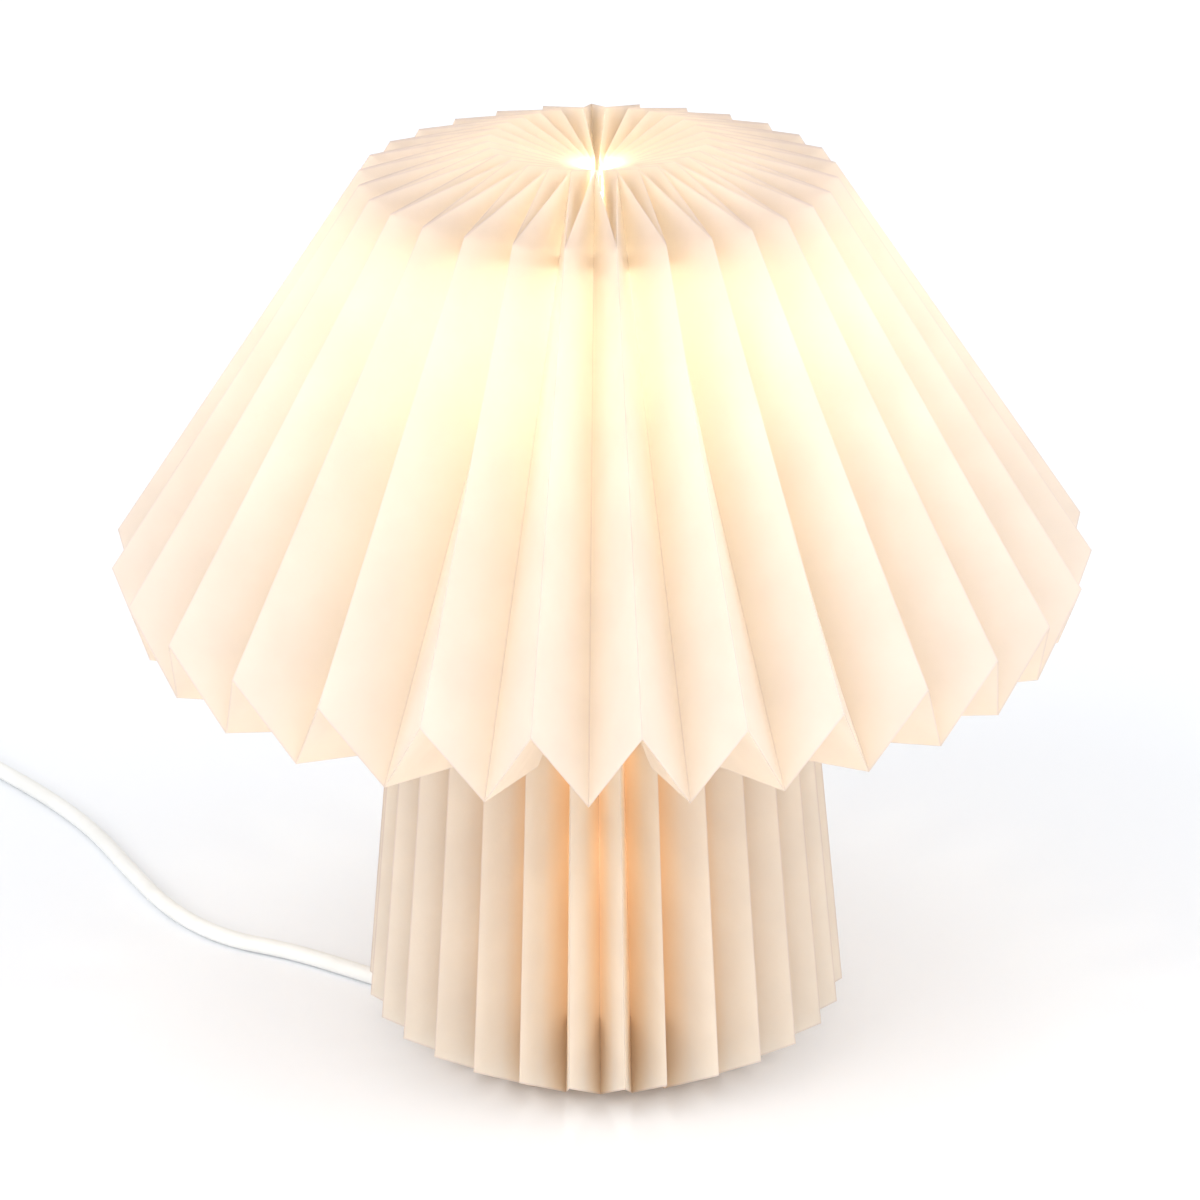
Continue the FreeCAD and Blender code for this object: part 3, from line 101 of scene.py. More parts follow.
class Finish:
    """A material under construction."""

    def __init__(self, name, roughness, **settings):
        self.material = bpy.data.materials.new(name)
        self.material.use_nodes = True
        self.shader = self.material.node_tree.nodes["Principled BSDF"]
        self.surface = self.material.node_tree.nodes["Material Output"].inputs["Surface"]
        self.dial(self.shader, Roughness=roughness, **settings)
        self.place = self.add("ShaderNodeTexCoord").outputs["Object"]

    def add(self, kind, **settings):
        """A new node of that kind, with its own settings."""
        node = self.material.node_tree.nodes.new(kind)
        for key, value in settings.items():
            setattr(node, key, value)
        return node

    def dial(self, node, **values):
        """Write numbers on a node's sockets; an underscore in a key stands for a space."""
        for key, value in values.items():
            node.inputs[key.replace("_", " ")].default_value = value
        return node

    def join(self, source, target):
        """A link from one socket to another."""
        self.material.node_tree.links.new(source, target)

    def noise(self, scale, detail=2.0, where=None):
        """Soft random bumps; scale is about their number in a metre."""
        node = self.dial(self.add("ShaderNodeTexNoise"), Scale=scale, Detail=detail)
        self.join(where or self.place, node.inputs["Vector"])
        return node.outputs["Fac"]

    def clouds(self, scale, detail=2.0, low=0.3, high=0.7):
        """Noise with the range from low to high stretched to 0 to 1."""
        return self.ramp(self.noise(scale, detail), low, high)

    def stretched(self, x, y, z):
        """Object coordinates with each axis scaled, so that a pattern is drawn out along one."""
        node = self.dial(self.add("ShaderNodeMapping"), Scale=(x, y, z))
        self.join(self.place, node.inputs["Vector"])
        return node.outputs["Vector"]

    def ramp(self, source, low, high, first=0.0, last=1.0):
        """The value between first and last that matches source between low and high, clamped."""
        node = self.dial(self.add("ShaderNodeMapRange"), From_Min=low, From_Max=high,
                         To_Min=first, To_Max=last)
        self.join(source, node.inputs["Value"])
        return node.outputs["Result"]

    def math(self, operation, *sources):
        """A sum or the like of numbers and sockets."""
        node = self.add("ShaderNodeMath", operation=operation)
        for socket, source in zip(node.inputs, sources):
            if isinstance(source, float):
                socket.default_value = source
            else:
                self.join(source, socket)
        return node.outputs[0]

    def attribute(self, name):
        """The number of that name that is stored on the mesh."""
        return self.add("ShaderNodeAttribute", attribute_name=name).outputs["Fac"]

    def blend(self, factor, first, second):
        """From the first colour to the second; each is four numbers or a colour socket."""
        node = self.add("ShaderNodeMix", data_type="RGBA")
        self.join(factor, node.inputs["Factor"])
        for socket, value in ((node.inputs[6], first), (node.inputs[7], second)):
            if isinstance(value, tuple):
                socket.default_value = value
            else:
                self.join(value, socket)
        return node.outputs[2]

    def colour(self, source):
        """Paint the surface with a colour socket."""
        self.join(source, self.shader.inputs["Base Color"])

    def bump(self, height, distance):
        """Tilt the light on the surface as if a pattern up to that distance high were on it."""
        node = self.dial(self.add("ShaderNodeBump"), Strength=1.0, Distance=distance)
        self.join(height, node.inputs["Height"])
        self.join(node.outputs["Normal"], self.shader.inputs["Normal"])


print("white is", [round(value, 3) for value in tone(255, 255, 255)])

# %% [markdown]
# ## The cord
# A lamp cord is a fixed length of smooth plastic-covered wire. It leaves the cast foot under the
# raised paper edge at the back left, comes down to the table and bends away to a switch; the rest
# lies in a neat coil beside the switch and ends in a flat plug. A curve with a round bevel suits it:
# its control points are the route, and the smooth spline between them lies as a wire does.

# %% Cord route
cord_width = 5.4 * mm
on_table = cord_width / 2


def heading(degrees):
    """A unit step on the table, turned that many degrees from the x axis."""
    angle = math.radians(degrees)
    return np.array([math.cos(angle), math.sin(angle)])


def at_height(points, height):
    """Points of the table's plane, all at one height, as rows of x, y and z."""
    points = np.atleast_2d(points)
    return np.column_stack([points, np.full(len(points), height)])


foot_edge = 46.995 * mm
straight_out = 8 * mm
exit_height = 4.8 * mm
exit_way = heading(165.2)
exit_point = at_height(exit_way * foot_edge, exit_height)
leaving = at_height(exit_way * (foot_edge + straight_out), exit_height)
near_route = np.array([(-67.5, 19.5), (-83.5, 30.5), (-104.0, 44.0), (-127.0, 53.5),
                       (-146.5, 74.0), (-162.5, 104.0), (-178.5, 137.0), (-198.0, 165.0),
                       (-217.0, 187.0)]) * mm
print("exit", exit_point.round(4).tolist())

# %% [markdown]
# The in-line switch takes the cord in one end and gives it out at the other, so each cord piece runs
# a little way into a mouth of it.

# %% Switch mouths
switch_centre = np.array([-272.0, 232.0]) * mm
switch_way = heading(143.0)
switch_half_length = 29.0 * mm
mouth_height = 6.0 * mm
before_mouth = 14.0 * mm
inside_mouth = 6.0 * mm


def switch_entry(side):
    """The last points on the way into the switch; side is 1 or -1 along its length."""
    beyond = np.array([before_mouth, -inside_mouth]) + switch_half_length
    return at_height(switch_centre + side * beyond[:, None] * switch_way, mouth_height)


middle_route = np.array([(-328.0, 259.5), (-345.0, 250.0), (-355.0, 232.0), (-356.5, 203.0),
                         (-354.5, 172.0)]) * mm
print("switch mouth", switch_entry(1)[-1].round(4).tolist())

# %% [markdown]
# The coil winds inwards on the table, climbs by one cord and winds out again on top. A spiral with
# one centre would do, but half circles about two centres are how a hand winds it, and neighbouring
# turns keep one distance.

# %% Coil route
coil_centre = np.array([-316.0, 135.0]) * mm
coil_radius = 38.5 * mm
coil_pitch = 6.0 * mm
half_turns_in = 6
points_per_half = 10


def coil_turns():
    """Half circles about two centres in turn, winding in on the table, up, and out again on top.

    A point is its half circle's centre plus radius times cosine and sine of a steady angle. The
    radius is 8 / (6 + 2 cos(step)) too large, because a smooth spline runs inside its points.
    """
    stand_off = 8 / (6 + 2 * math.cos(math.pi / points_per_half))
    radii = coil_radius - coil_pitch / 2 * np.arange(half_turns_in + 1)
    every = np.concatenate([radii, radii[half_turns_in - 1:0:-1]])
    share = (np.arange(points_per_half) + 0.5) / points_per_half
    rows = []
    place = -coil_radius
    for number, radius in enumerate(every):
        side = 1 if number % 2 == 0 else -1
        centre = place + side * radius
        angle = math.pi * (number % 2 + 1 + share)
        rise = np.clip(share + number - half_turns_in, 0, 1) * coil_pitch
        rows.append(np.column_stack([coil_centre[0] + centre + radius * stand_off * np.cos(angle),
                                     coil_centre[1] + radius * stand_off * np.sin(angle),
                                     on_table + rise]))
        place += 2 * side * radius
    return np.vstack(rows)


coil_left = coil_centre - np.array([coil_radius, 0])
coil_in = at_height(coil_left + [0, cord_width], on_table)
coil_out = at_height(coil_left - [0, cord_width], on_table + coil_pitch)
off_coil = np.array([0, 15.0, 0]) * mm
plug_back = np.array([-354.5, 50.0, 6.85]) * mm
relief_length = np.array([0, 22.0, 0]) * mm
relief_lead = np.array([0.5, 19.0, 0.5]) * mm
relief_start = plug_back + relief_length
tail = np.vstack([coil_out - off_coil, relief_start + relief_lead, relief_start, plug_back])
print("coil points", coil_turns().shape)

# %% [markdown]
# The sheath is smooth white plastic: a soft sheen, two close whites in slow clouds, and a grain that
# is too fine to see on its own but keeps the highlight from looking like glass.

# %% Cord pieces


def cord_curve(name, *route):
    """A round cord on a smooth spline whose control points are the route's rows."""
    points = np.vstack(route)
    curve = bpy.data.curves.new(name, "CURVE")
    curve.dimensions = "3D"
    curve.bevel_depth = cord_width / 2
    curve.bevel_resolution = 5
    curve.resolution_u = 6
    curve.use_fill_caps = True
    spline = curve.splines.new("NURBS")
    spline.points.add(len(points) - 1)
    spline.points.foreach_set("co", np.column_stack([points, np.ones(len(points))]).ravel())
    spline.order_u = 3
    spline.use_endpoint_u = True
    return new_object(name, curve)


lamp_cord = cord_curve("cord_to_switch", exit_point, leaving, at_height(near_route, on_table),
                       switch_entry(-1))
coil_cord = cord_curve("cord_to_plug", switch_entry(1)[::-1], at_height(middle_route, on_table),
                       coil_in, coil_turns(), coil_out, tail)
sheath = Finish("cord_sheath", 0.36)
sheath.colour(sheath.blend(sheath.clouds(90), tone(239, 239, 237), tone(233, 233, 230)))
sheath.bump(sheath.noise(1500), 0.00003)
for piece in (lamp_cord, coil_cord):
    piece.data.materials.append(sheath.material)
    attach(piece, "stand")
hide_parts("cord")
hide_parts("cord_middle", "cord_coil", "cord_tail")
print("cord pieces", lamp_cord.name, coil_cord.name)

# %% [markdown]
# ## Folded paper
# Pleated paper is flat panels between straight folds: thirty outer folds, the ridges, and thirty
# inner ones, the valleys. They aren't quite evenly spaced, because paper is folded and gathered by
# hand, so a fold's azimuth is twelve degrees times its number plus a small smooth unevenness. A panel
# is the straight blend of two zigzag edges, and real paper bows a little between its folds. Cloth
# simulation isn't needed for flat panels, and one function of two parameters keeps every fold exactly
# shared between its panels.

# %% Fold azimuths
pleats = 30
step = 12


def shade_azimuth(number):
    """Even steps, plus a slow wave, plus a spread of the pleats beside one of them, in radians.

    The spread is its size times e to the minus square of (number - centre) / width.
    """
    first, wave_size, wave_start = -10.8, 0.94, 186
    spread_size, spread_centre, spread_width = 3.24, 0.54, 3.94
    wave = wave_size * np.sin(np.radians(step * number + wave_start))
    spread = spread_size * np.exp(-((number - spread_centre) / spread_width) ** 2)
    return np.radians(first + step * number + wave + spread)


def base_azimuth(number):
    """Even steps, plus a slow wave, minus a pinch of the pleats beside one of them, in radians.

    The pinch is its size times turn times e to the minus square of turn, where turn is
    (number - centre) / width.
    """
    first, wave_size, wave_start = -8.9, 0.3, 139
    pinch_size, pinch_centre, pinch_width = 2.44, 1.46, 0.69
    turn = (number - pinch_centre) / pinch_width
    wave = wave_size * np.sin(np.radians(step * number + wave_start))
    return np.radians(first + step * number + wave - pinch_size * turn * np.exp(-turn ** 2))


def zigzag(ridge, valley, rule):
    """An edge's 60 corners, ridge and valley in turn, as (radius sin a, -radius cos a, height).

    Corner j lies at the azimuth a of fold number j / 2 - 15, so corner 60 is corner 0 again.
    """
    corner = np.arange(2 * pleats)
    radius, height = np.where(corner[:, None] % 2 == 0, ridge, valley).T
    azimuth = rule(corner / 2 - pleats / 2)
    return np.column_stack([radius * np.sin(azimuth), -radius * np.cos(azimuth), height])


front_folds = np.array([-1, -0.5, 0, 0.5, 1])
print("front folds of the shade", np.degrees(shade_azimuth(front_folds)).round(1).tolist())

# %% [markdown]
# A panel's grid is finer beside its folds, where a painted shade line stands in for the crease's
# small rounding. Every panel gets its own slight bow, out or in, strongest in its middle. The seed
# is a fixed one, so each run gives the same paper.

# %% Panels
crease_width = 0.55 * mm
wide_panel = 12 * mm
panel_shares = np.array([0.0, 0.02, 0.12, 0.26, 0.42, 0.58, 0.74, 0.88, 0.98])
bow_mean, bow_spread = 0.35, 0.5
bow_least, bow_most = -0.9, 1.2
bow_fullness = 0.7


def panels(low, high, rows, bow, seed):
    """Points of all 60 panels between two zigzag edges, as an array of row, column and axis.

    A point is (1 - t) times its spot on the low edge plus t times that on the high edge, where a
    spot is (1 - s) times one corner plus s times the next. It is then moved along the panel's
    normal by bow times the panel's own number times sin(pi s) times sin(pi t) to the fullness.
    """
    t = np.linspace(0, 1, rows + 1)[:, None, None]
    s = panel_shares[None, :, None]
    spots = [edge[:, None, :] * (1 - s) + np.roll(edge, -1, axis=0)[:, None, :] * s
             for edge in (low, high)]
    low_row, high_row = (spot.reshape(-1, 3) for spot in spots)
    points = low_row * (1 - t) + high_row * t
    across = np.roll(low, -1, axis=0) - low
    up = (high + np.roll(high, -1, axis=0) - low - np.roll(low, -1, axis=0)) / 2
    normal = np.cross(across, up)
    normal /= np.linalg.norm(normal, axis=1, keepdims=True)
    own = np.random.default_rng(seed).normal(bow_mean, bow_spread, len(low))
    own = own.clip(bow_least, bow_most)
    push = (normal * own[:, None])[:, None, :] * np.sin(math.pi * s)
    return points + bow * push.reshape(-1, 3) * np.sin(math.pi * t) ** bow_fullness


def fold_distance(points):
    """Each point's distance to the nearer long fold of its panel, in metres.

    Where a panel is narrower than the wide one, up to one crease width is added, so that the painted
    shade lines of the creases fade out round the hole instead of running together: distance + crease
    (1 - width / wide).
    """
    by_panel = points.reshape(len(points), -1, len(panel_shares), 3)
    start = by_panel[:, :, :1]
    width = np.linalg.norm(np.roll(start, -1, axis=1) - start, axis=-1)
    distance = np.minimum(panel_shares, 1 - panel_shares) * width
    fading = (1 - width / wide_panel).clip(0, 1)
    return (distance + crease_width * fading).reshape(len(points), -1)


def row_distance(points, row):
    """Each point's distance to its column's spot on one row, in metres, along a straight line."""
    return np.linalg.norm(points - points[row], axis=-1)


print(2 * pleats, "panels of", len(panel_shares), "columns")

# %% [markdown]
# The grid becomes a mesh whose last column joins the first. A bevel could round the folds, but on
# paper this thin a hard edge with smooth shading on both sides of it looks right. Four numbers are
# stored on each point, for the material: how far it is from a long fold, from the edge and from a
# crease across, which place the painted shade lines, and how deep in a fold it is, which sets the
# painted warm glow of the inner folds.

# %% Sheet mesh
fold_columns = np.arange(2 * pleats) * len(panel_shares)
fold_depth = np.tile(np.concatenate([panel_shares, 1 - panel_shares]), pleats)[None, :]


def ring_mesh(name, points, sharp_rows, sharp_columns, **attributes):
    """A mesh of a grid that closes on itself sideways; its rows run along the folds.

    Its faces point outwards when columns run anticlockwise seen from above. Edges along the sharp
    rows and columns keep a hard crease, and the rest is shaded smooth.
    """
    rows, columns = points.shape[:2]
    index = np.arange(rows * columns).reshape(rows, columns)
    right = np.roll(index, -1, axis=1)
    faces = np.stack([index[:-1], right[:-1], right[1:], index[1:]], axis=-1).reshape(-1, 4)
    mesh = bpy.data.meshes.new(name)
    mesh.from_pydata(points.reshape(-1, 3).tolist(), [], faces.tolist())
    mesh.polygons.foreach_set("use_smooth", np.ones(len(faces), bool))
    ends = np.empty(2 * len(mesh.edges), int)
    mesh.edges.foreach_get("vertices", ends)
    row, column = np.divmod(ends.reshape(-1, 2), columns)
    sharp = (row[:, 0] == row[:, 1]) & np.isin(row[:, 0], sharp_rows)
    sharp |= (column[:, 0] == column[:, 1]) & np.isin(column[:, 0], sharp_columns)
    mesh.attributes.new("sharp_edge", "BOOLEAN", "EDGE").data.foreach_set("value", sharp)
    for key, value in attributes.items():
        mesh.attributes.new(key, "FLOAT", "POINT").data.foreach_set(
            "value", np.broadcast_to(value, (rows, columns)).ravel().astype(np.float32))
    return new_object(name, mesh)


print("fold columns", fold_columns[:3].tolist(), "and so on")

# %% [markdown]
# ### The shade
# One strip of paper makes the whole shade. Its panels start free under the cone and run outwards to
# the hem, where a zigzag crease turns them up into the cone. They fold over again at the shoulder
# and run down into the funnel, where a thread gathers them round the hole. The ridge folds dip below
# the valleys in the funnel, which is what makes it a funnel. The three parts could be meshes of their
# own; as rows of one grid they follow the strip from end to end, and share the creases.

# %% Shade paper
shade_top = 294.6 * mm
hem_ridge = np.array([150.0 * mm, shade_top - 127.4 * mm])
hem_valley = np.array([141.3 * mm, shade_top - 152.1 * mm])
shoulder_ridge = (71.4 * mm, shade_top - 10.4 * mm)
shoulder_valley = (32.6 * mm, shade_top)
hole_ridge = (17.0 * mm, shade_top - 34.4 * mm)
hole_valley = (6.1 * mm, shade_top - 7.8 * mm)
turned_in = 60.0 * mm
turned_slope = 0.27
turned = np.array([turned_in, turned_slope * turned_in])

free_end = zigzag(hem_ridge - turned, hem_valley - turned, shade_azimuth)
hem = zigzag(hem_ridge, hem_valley, shade_azimuth)
shoulder = zigzag(shoulder_ridge, shoulder_valley, shade_azimuth)
gathered = zigzag(hole_ridge, hole_valley, shade_azimuth)
underside = panels(free_end, hem, rows=12, bow=0.4 * mm, seed=14)
cone = panels(hem, shoulder, rows=26, bow=0.9 * mm, seed=11)
funnel = panels(shoulder, gathered, rows=14, bow=0.35 * mm, seed=12)
shade_points = np.concatenate([underside, cone[1:], funnel[1:]])
hem_row = len(underside) - 1
shoulder_row = hem_row + len(cone) - 1

shade_sheet = ring_mesh("shade_sheet", shade_points, [hem_row, shoulder_row], fold_columns,
                        fold_distance=fold_distance(shade_points),
                        edge_distance=row_distance(shade_points, hem_row),
                        crease_distance=row_distance(shade_points, shoulder_row),
                        fold_depth=fold_depth)
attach(shade_sheet, "shade")
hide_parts("shade_paper", "shade_underside")
print("shade", len(shade_sheet.data.polygons), "faces")

# %% [markdown]
# ### The base
# The base is the same folding without a crease: a tube whose folds lean in a little towards the top.
# Its valleys stand on the table, and its ridges are cut to end above it. It has no crease across, so
# the distance to one is set to a metre, which draws no painted crease shade line.

# %% Base paper
base_top = 165.0 * mm
base_ridge = 75.8 * mm
base_valley = 50.0 * mm
ridge_cut = 15.9 * mm
lean = 0.0964
base_rows = 22
panel_length = 0.155

base_edge = zigzag((base_ridge, ridge_cut), (base_valley, 0.0), base_azimuth)
base_rim = zigzag((base_ridge - lean * (base_top - ridge_cut), base_top),
                  (base_valley - lean * base_top, base_top), base_azimuth)
base_points = panels(base_edge, base_rim, base_rows, bow=0.5 * mm, seed=13)
along = np.linspace(0, 1, base_rows + 1)[:, None] * panel_length
base_sheet = ring_mesh("base_sheet", base_points, [], fold_columns,
                       fold_distance=fold_distance(base_points),
                       edge_distance=np.minimum(along, panel_length - along),
                       crease_distance=np.ones((base_rows + 1, 1)), fold_depth=fold_depth)
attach(base_sheet, "stand")
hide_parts("base_paper")
print("base", len(base_sheet.data.polygons), "faces")

# %% [markdown]
# ### Paper
# This paper is a smooth heavy cream sheet. It shows three things: soft reflection from its fibres,
# light from the bulb that comes through it, and fine lines along its folds, shoulder crease and cut
# edge, which are painted shade standing in for the folds' small rounding and the edge's thickness.
# Subsurface scattering is meant for solid bodies, and these sheets have no thickness, so the material
# mixes a Principled shader with a Translucent one. Noise makes the fibres and the cloudy thickness
# that shows when it is lit from behind; the distances stored on the mesh draw the painted shade
# lines, and the depth in a fold paints a warm glow into the inner folds for light that bounces there.

# %% Paper material
# Painted shade: a greyish lavender line along the folds, the shoulder crease and the cut edge,
# standing in for the folds' small rounding and the paper's thickness at its edge.
painted_crease_shade = tone(190, 182, 198)
crease_shade_strength = 0.45
fibre_strength = 0.35
thick_spots = 0.93


def paper(name, face, shadow, painted_fold_light, glow, share):
    """Cream paper: face and shadow are its front colours; the third colour is the painted warm glow
    of light that bounces in the innermost part of its folds; glow is what it lets through, and share
    how much of the light that is."""
    finish = Finish(name, 0.82, Specular_IOR_Level=0.25)
    cloud = finish.clouds(45, 3.0, 0.35, 0.65)
    fibre = finish.math("MULTIPLY", finish.clouds(900, 3.0), fibre_strength)
    sheet = finish.blend(fibre, finish.blend(cloud, face, shadow), shadow)
    # Painted warm glow in the inner folds, stronger towards the valleys, for light that bounces
    # there.
    sheet = finish.blend(finish.ramp(finish.attribute("fold_depth"), 0.45, 1.0), sheet, painted_fold_light)
    # Masks of the painted shade lines at the cut edge, the shoulder crease and the long folds.
    crease_shade_parts = [finish.ramp(finish.attribute(key), near, far, 1.0, 0.0)
             for key, near, far in (("edge_distance", 0.3 * mm, 0.7 * mm),
                                    ("crease_distance", 0.3 * mm, 1.0 * mm),
                                    ("fold_distance", 0.15 * mm, crease_width))]
    crease_shade_mask = finish.math("MAXIMUM", crease_shade_parts[2], finish.math("MAXIMUM", crease_shade_parts[0], crease_shade_parts[1]))
    crease_shade_amount = finish.math("MULTIPLY", crease_shade_mask, crease_shade_strength)
    finish.colour(finish.blend(crease_shade_amount, sheet, painted_crease_shade))
    finish.bump(finish.noise(700, 4.0), 0.00004)
    dimmer = tuple(value * thick_spots for value in glow[:3]) + (1.0,)
    through = finish.add("ShaderNodeBsdfTranslucent")
    finish.join(finish.blend(cloud, glow, dimmer), through.inputs["Color"])
    mix = finish.add("ShaderNodeMixShader")
    mix.inputs[0].default_value = share
    finish.join(finish.shader.outputs[0], mix.inputs[1])
    finish.join(through.outputs[0], mix.inputs[2])
    finish.join(mix.outputs[0], finish.surface)
    return finish.material


# The third colour of each paper is the painted warm glow in its inner folds.
shade_sheet.data.materials.append(paper("shade_paper", tone(231, 224, 222), tone(229, 221, 217),
                                        tone(233, 223, 214), tone(255, 245, 230), 0.46))
base_sheet.data.materials.append(paper("base_paper", tone(243, 247, 245), tone(241, 243, 240),
                                       tone(251, 226, 194), tone(254, 228, 194), 0.42))
print("papers", [sheet.active_material.name for sheet in (shade_sheet, base_sheet)])

# %% [markdown]
# ## Fittings
# The small parts keep their measured shapes and get finishes of their own: painted and plated steel,
# moulded plastic, rubber, brass and a cast foot. A moulded part is even in colour with a faint cloud
# in it, and its surface has a very fine soft texture; a metal part varies in roughness.

# %% Shared finishes


def moulded(name, light, dark, roughness, grain=1400, depth=0.00003):
    """Plastic or rubber: two close colours in slow clouds, and a fine even grain."""
    finish = Finish(name, roughness)
    finish.colour(finish.blend(finish.clouds(70, 3.0), light, dark))
    finish.bump(finish.noise(grain, 3.0), depth)
    return finish.material


def plated(name, light, dark, low, high):
    """Metal: two close colours in clouds, roughness between two values, faint fine scratches."""
    finish = Finish(name, low, Metallic=1.0)
    finish.colour(finish.blend(finish.clouds(120, 4.0, 0.35, 0.65), light, dark))
    wear = finish.ramp(finish.noise(400, 3.0), 0.3, 0.7, low, high)
    finish.join(wear, finish.shader.inputs["Roughness"])
    finish.bump(finish.noise(900, 3.0, finish.stretched(1.0, 1.0, 6.0)), 0.00002)
    return finish.material


white_plastic = (tone(244, 243, 239), tone(238, 237, 232))
white_enamel = (tone(243, 241, 235), tone(236, 233, 226))
print("white plastic", [round(value, 3) for value in white_plastic[0]])

# %% [markdown]
# Four parts have a finish that no other part shares. The foot is primed cast iron with a rough skin.
# The thread is twisted, which a diagonal wave shows. The wire carrier is painted white. The globe is
# opal plastic lit from inside: light could be put inside a translucent shell, but a surface that
# shines evenly looks the same and renders with far less noise.

# %% Single finishes
cast_iron = Finish("cast_iron", 0.62, Specular_IOR_Level=0.4)
cast_iron.colour(cast_iron.blend(cast_iron.clouds(160, 5.0, 0.35, 0.7), tone(118, 118, 121),
                                 tone(100, 99, 102)))
cast_iron.bump(cast_iron.noise(650, 6.0), 0.0003)

twisted = Finish("thread", 0.9)
strand = twisted.add("ShaderNodeTexWave", bands_direction="DIAGONAL")
twisted.dial(strand, Scale=900.0, Distortion=1.5)
twisted.join(twisted.place, strand.inputs["Vector"])
twisted.colour(twisted.blend(strand.outputs["Fac"], tone(238, 232, 220), tone(208, 199, 184)))
twisted.bump(strand.outputs["Fac"], 0.0001)

white_coat = Finish("white_metal", 0.42)
white_coat.colour(white_coat.blend(white_coat.clouds(110, 3.0), *white_enamel))
white_coat.bump(white_coat.noise(1100, 2.0), 0.00006)

opal = Finish("opal_globe", 0.35, Emission_Strength=3.35)
opal.colour(opal.blend(opal.clouds(60), tone(252, 246, 236), tone(250, 242, 228)))
opal.join(opal.blend(opal.clouds(40), (1.0, 0.89, 0.44, 1.0), (1.0, 0.86, 0.4, 1.0)),
          opal.shader.inputs["Emission Color"])
opal.bump(opal.noise(900, 2.0), 0.00002)
print("single finishes", [finish.material.name for finish in (cast_iron, twisted, white_coat, opal)])

# %% [markdown]
# Each measured part has one material slot. The list below names the parts that share a finish.

# %% Put the finishes on the measured parts
finishes = {
    "base_weight": cast_iron.material,
    "foot_pad_1 foot_pad_2 foot_pad_3":
        moulded("rubber", tone(52, 52, 53), tone(40, 40, 41), 0.85, 900, 0.0001),
    "cord_grommet":
        moulded("grommet_rubber", tone(232, 230, 225), tone(222, 220, 214), 0.7, 900, 0.00008),
    "stem_tube stem_washers stem_nuts support_disc grub_screw terminal_screws switch_screws":
        plated("zinc_steel", tone(205, 208, 212), tone(188, 190, 190), 0.28, 0.45),
    "carrier_fitter carrier_hoop carrier_arm_1 carrier_arm_2 carrier_arm_3": white_coat.material,
    "holder_cap holder_shell shade_ring_lower shade_ring_upper":
        moulded("holder_plastic", *white_enamel, 0.38),
    "holder_insert":
        moulded("insulator", tone(242, 239, 232), tone(231, 227, 218), 0.3, 500, 0.0001),
    "bulb_insulator": moulded("black_insulator", tone(36, 32, 40), tone(22, 20, 26), 0.12, 300),
    "screw_shell centre_contact":
        plated("brass", tone(226, 196, 120), tone(206, 172, 98), 0.25, 0.4),
    "bulb_cap bulb_tip plug_pins":
        plated("bulb_metal", tone(226, 226, 226), tone(212, 211, 208), 0.2, 0.34),
    "bulb_body": moulded("bulb_plastic", tone(246, 244, 239), tone(240, 237, 230), 0.4),
    "bulb_board": moulded("board", tone(240, 240, 236), tone(224, 222, 208), 0.45, 260, 0.0002),
    "bulb_globe": opal.material,
    "shade_thread": twisted.material,
    "switch_lower switch_upper switch_rocker": moulded("switch_plastic", *white_plastic, 0.32),
    "plug_body plug_relief": moulded("plug_plastic", *white_plastic, 0.34),
    "cord_riser": sheath.material,
}
for names, material in finishes.items():
    for name in names.split():
        slots = nodes[name].data.materials
        slots.clear()
        slots.append(material)
print(sum(len(names.split()) for names in finishes), "measured parts have finishes")

# %% [markdown]
# ## Table and light
# The photograph has a plain white ground with a soft grey shadow at the foot, and light from all
# round. The floor is a matt white plane that keeps the shadow. A little is added for camera rays, and
# more of it further out, so that the floor meets the white background without an edge.

# %% Floor
floor_half = 6.0
floor_height = -0.0003
lift_from, lift_to = 0.3, 1.6
lift_near, lift_far = 0.02, 0.2

floor_corners = [(x * floor_half, y * floor_half, floor_height)
                 for x, y in ((-1, -1), (1, -1), (1, 1), (-1, 1))]
floor_mesh = bpy.data.meshes.new("floor")
floor_mesh.from_pydata(floor_corners, [], [(0, 1, 2, 3)])
floor = new_object("floor", floor_mesh)

ground = Finish("floor", 0.9, Specular_IOR_Level=0.1, Base_Color=(0.875, 0.895, 0.93, 1.0),
                Emission_Color=(1.0, 1.0, 1.0, 1.0))
rays = ground.add("ShaderNodeLightPath").outputs
mirrored = ground.math("MAXIMUM", rays["Is Glossy Ray"], rays["Is Transmission Ray"])
seen = ground.math("MAXIMUM", rays["Is Camera Ray"], mirrored)
away = ground.add("ShaderNodeVectorMath", operation="LENGTH")
ground.join(ground.place, away.inputs[0])
lift = ground.ramp(away.outputs["Value"], lift_from, lift_to, lift_near, lift_far)
ground.join(ground.math("MULTIPLY", seen, lift), ground.shader.inputs["Emission Strength"])
floor_mesh.materials.append(ground.material)
print("floor", 2 * floor_half, "m wide")

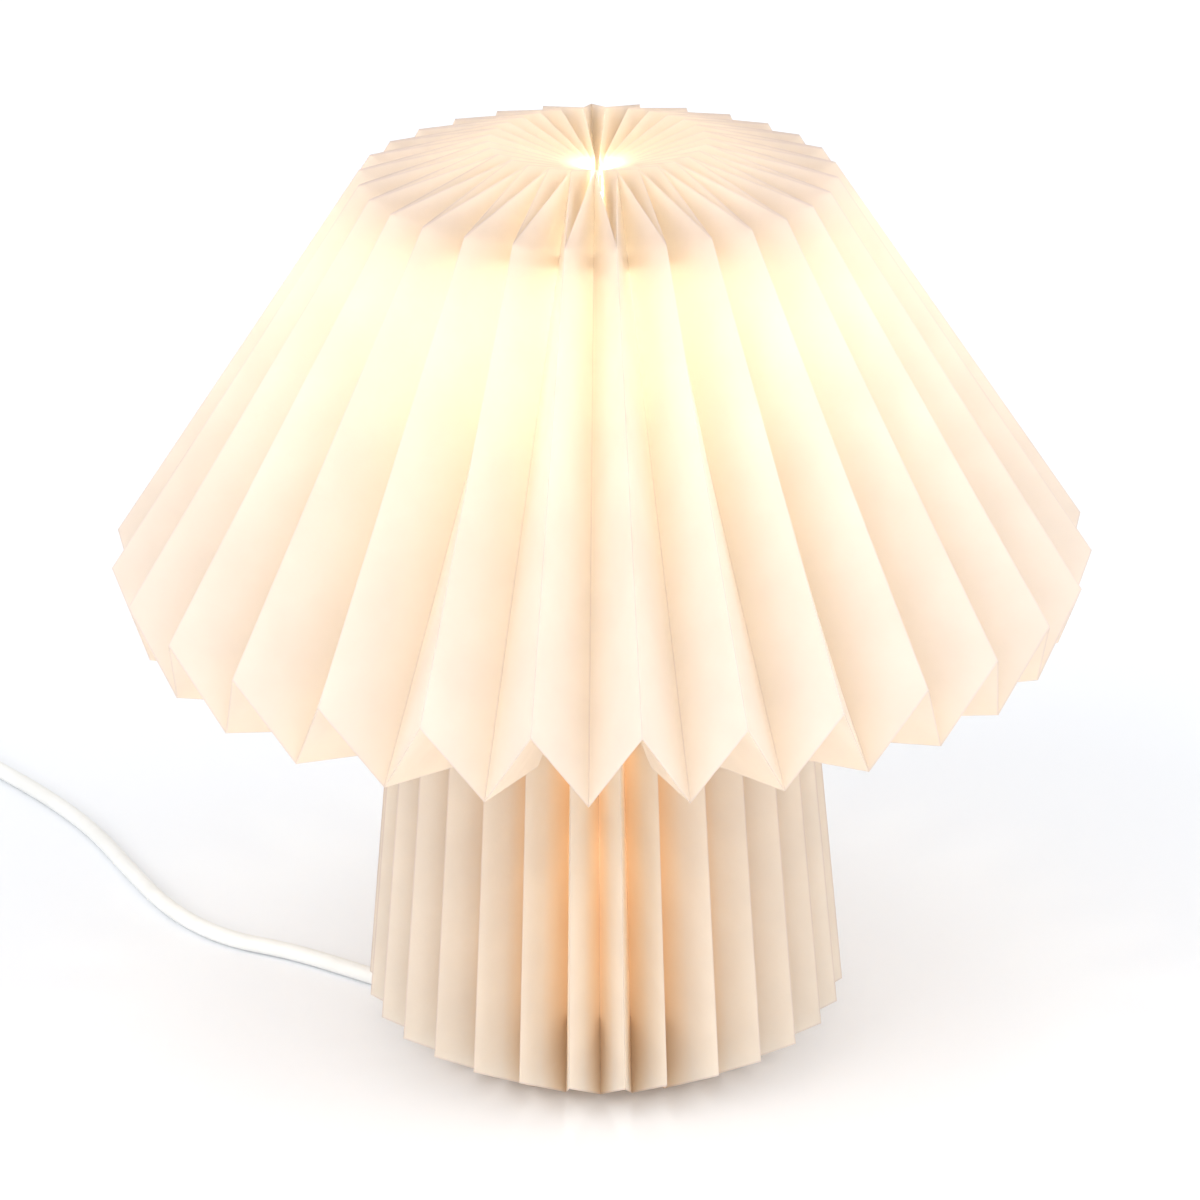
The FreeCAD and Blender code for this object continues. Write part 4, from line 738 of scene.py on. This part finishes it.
# %% [markdown]
# The background lights the lamp from all sides. It is pure white where the camera sees it and a
# little weaker for the light that it gives, so that the paper keeps its shading.

# %% World
world_light = 0.89
scene.view_settings.view_transform = "Standard"
world = bpy.data.worlds.new("studio")
scene.world = world
world.use_nodes = True
tree = world.node_tree
rays = tree.nodes.new("ShaderNodeLightPath").outputs
either = tree.nodes.new("ShaderNodeMath")
either.operation = "MAXIMUM"
level = tree.nodes.new("ShaderNodeMapRange")
level.inputs["To Min"].default_value = world_light
level.inputs["To Max"].default_value = 1.0
background = tree.nodes["Background"].inputs
background["Color"].default_value = (1.0, 1.0, 1.0, 1.0)
tree.links.new(rays["Is Camera Ray"], either.inputs[0])
tree.links.new(rays["Is Transmission Ray"], either.inputs[1])
tree.links.new(either.outputs[0], level.inputs["Value"])
tree.links.new(level.outputs["Result"], background["Strength"])
print("world light", world_light)

# %% [markdown]
# Three soft lamps shape the paper from outside. Four small ones stand for light that real paper
# scatters on and on, and that a render with few bounces loses: one under the hole of the funnel, and
# three very weak ones inside the base.

# %% Lamps


def softbox(name, place, aim, size, power):
    """A square area lamp at place that faces aim."""
    data = bpy.data.lights.new(name, "AREA")
    data.size = size
    data.energy = power
    lamp = new_object(name, data)
    lamp.location = place
    lamp.rotation_euler = (Vector(aim) - Vector(place)).to_track_quat("-Z", "Y").to_euler()


def small_glow(name, place, colour, power):
    """A small round lamp."""
    data = bpy.data.lights.new(name, "POINT")
    data.color = colour
    data.energy = power
    data.shadow_soft_size = 0.01
    new_object(name, data).location = place


softbox("softbox_left", (-1.3, -1.1, 1.5), (0, 0, 0.15), 1.4, 15.6)
softbox("softbox_right", (1.4, -0.7, 1.3), (0, 0, 0.15), 1.4, 10.4)
softbox("softbox_front", (0.1, -1.7, 0.3), (0, 0, 0.06), 1.2, 9.0)
small_glow("glow_under_hole", (0.0, 0.0, 0.259), (1.0, 0.94, 0.72), 0.52)
for number, height in enumerate((0.036, 0.075, 0.115)):
    small_glow(f"glow_in_base_{number}", (0.0, -0.028, height), (1.0, 0.97, 0.93), 0.022)
print("lamps", len(bpy.data.lights))
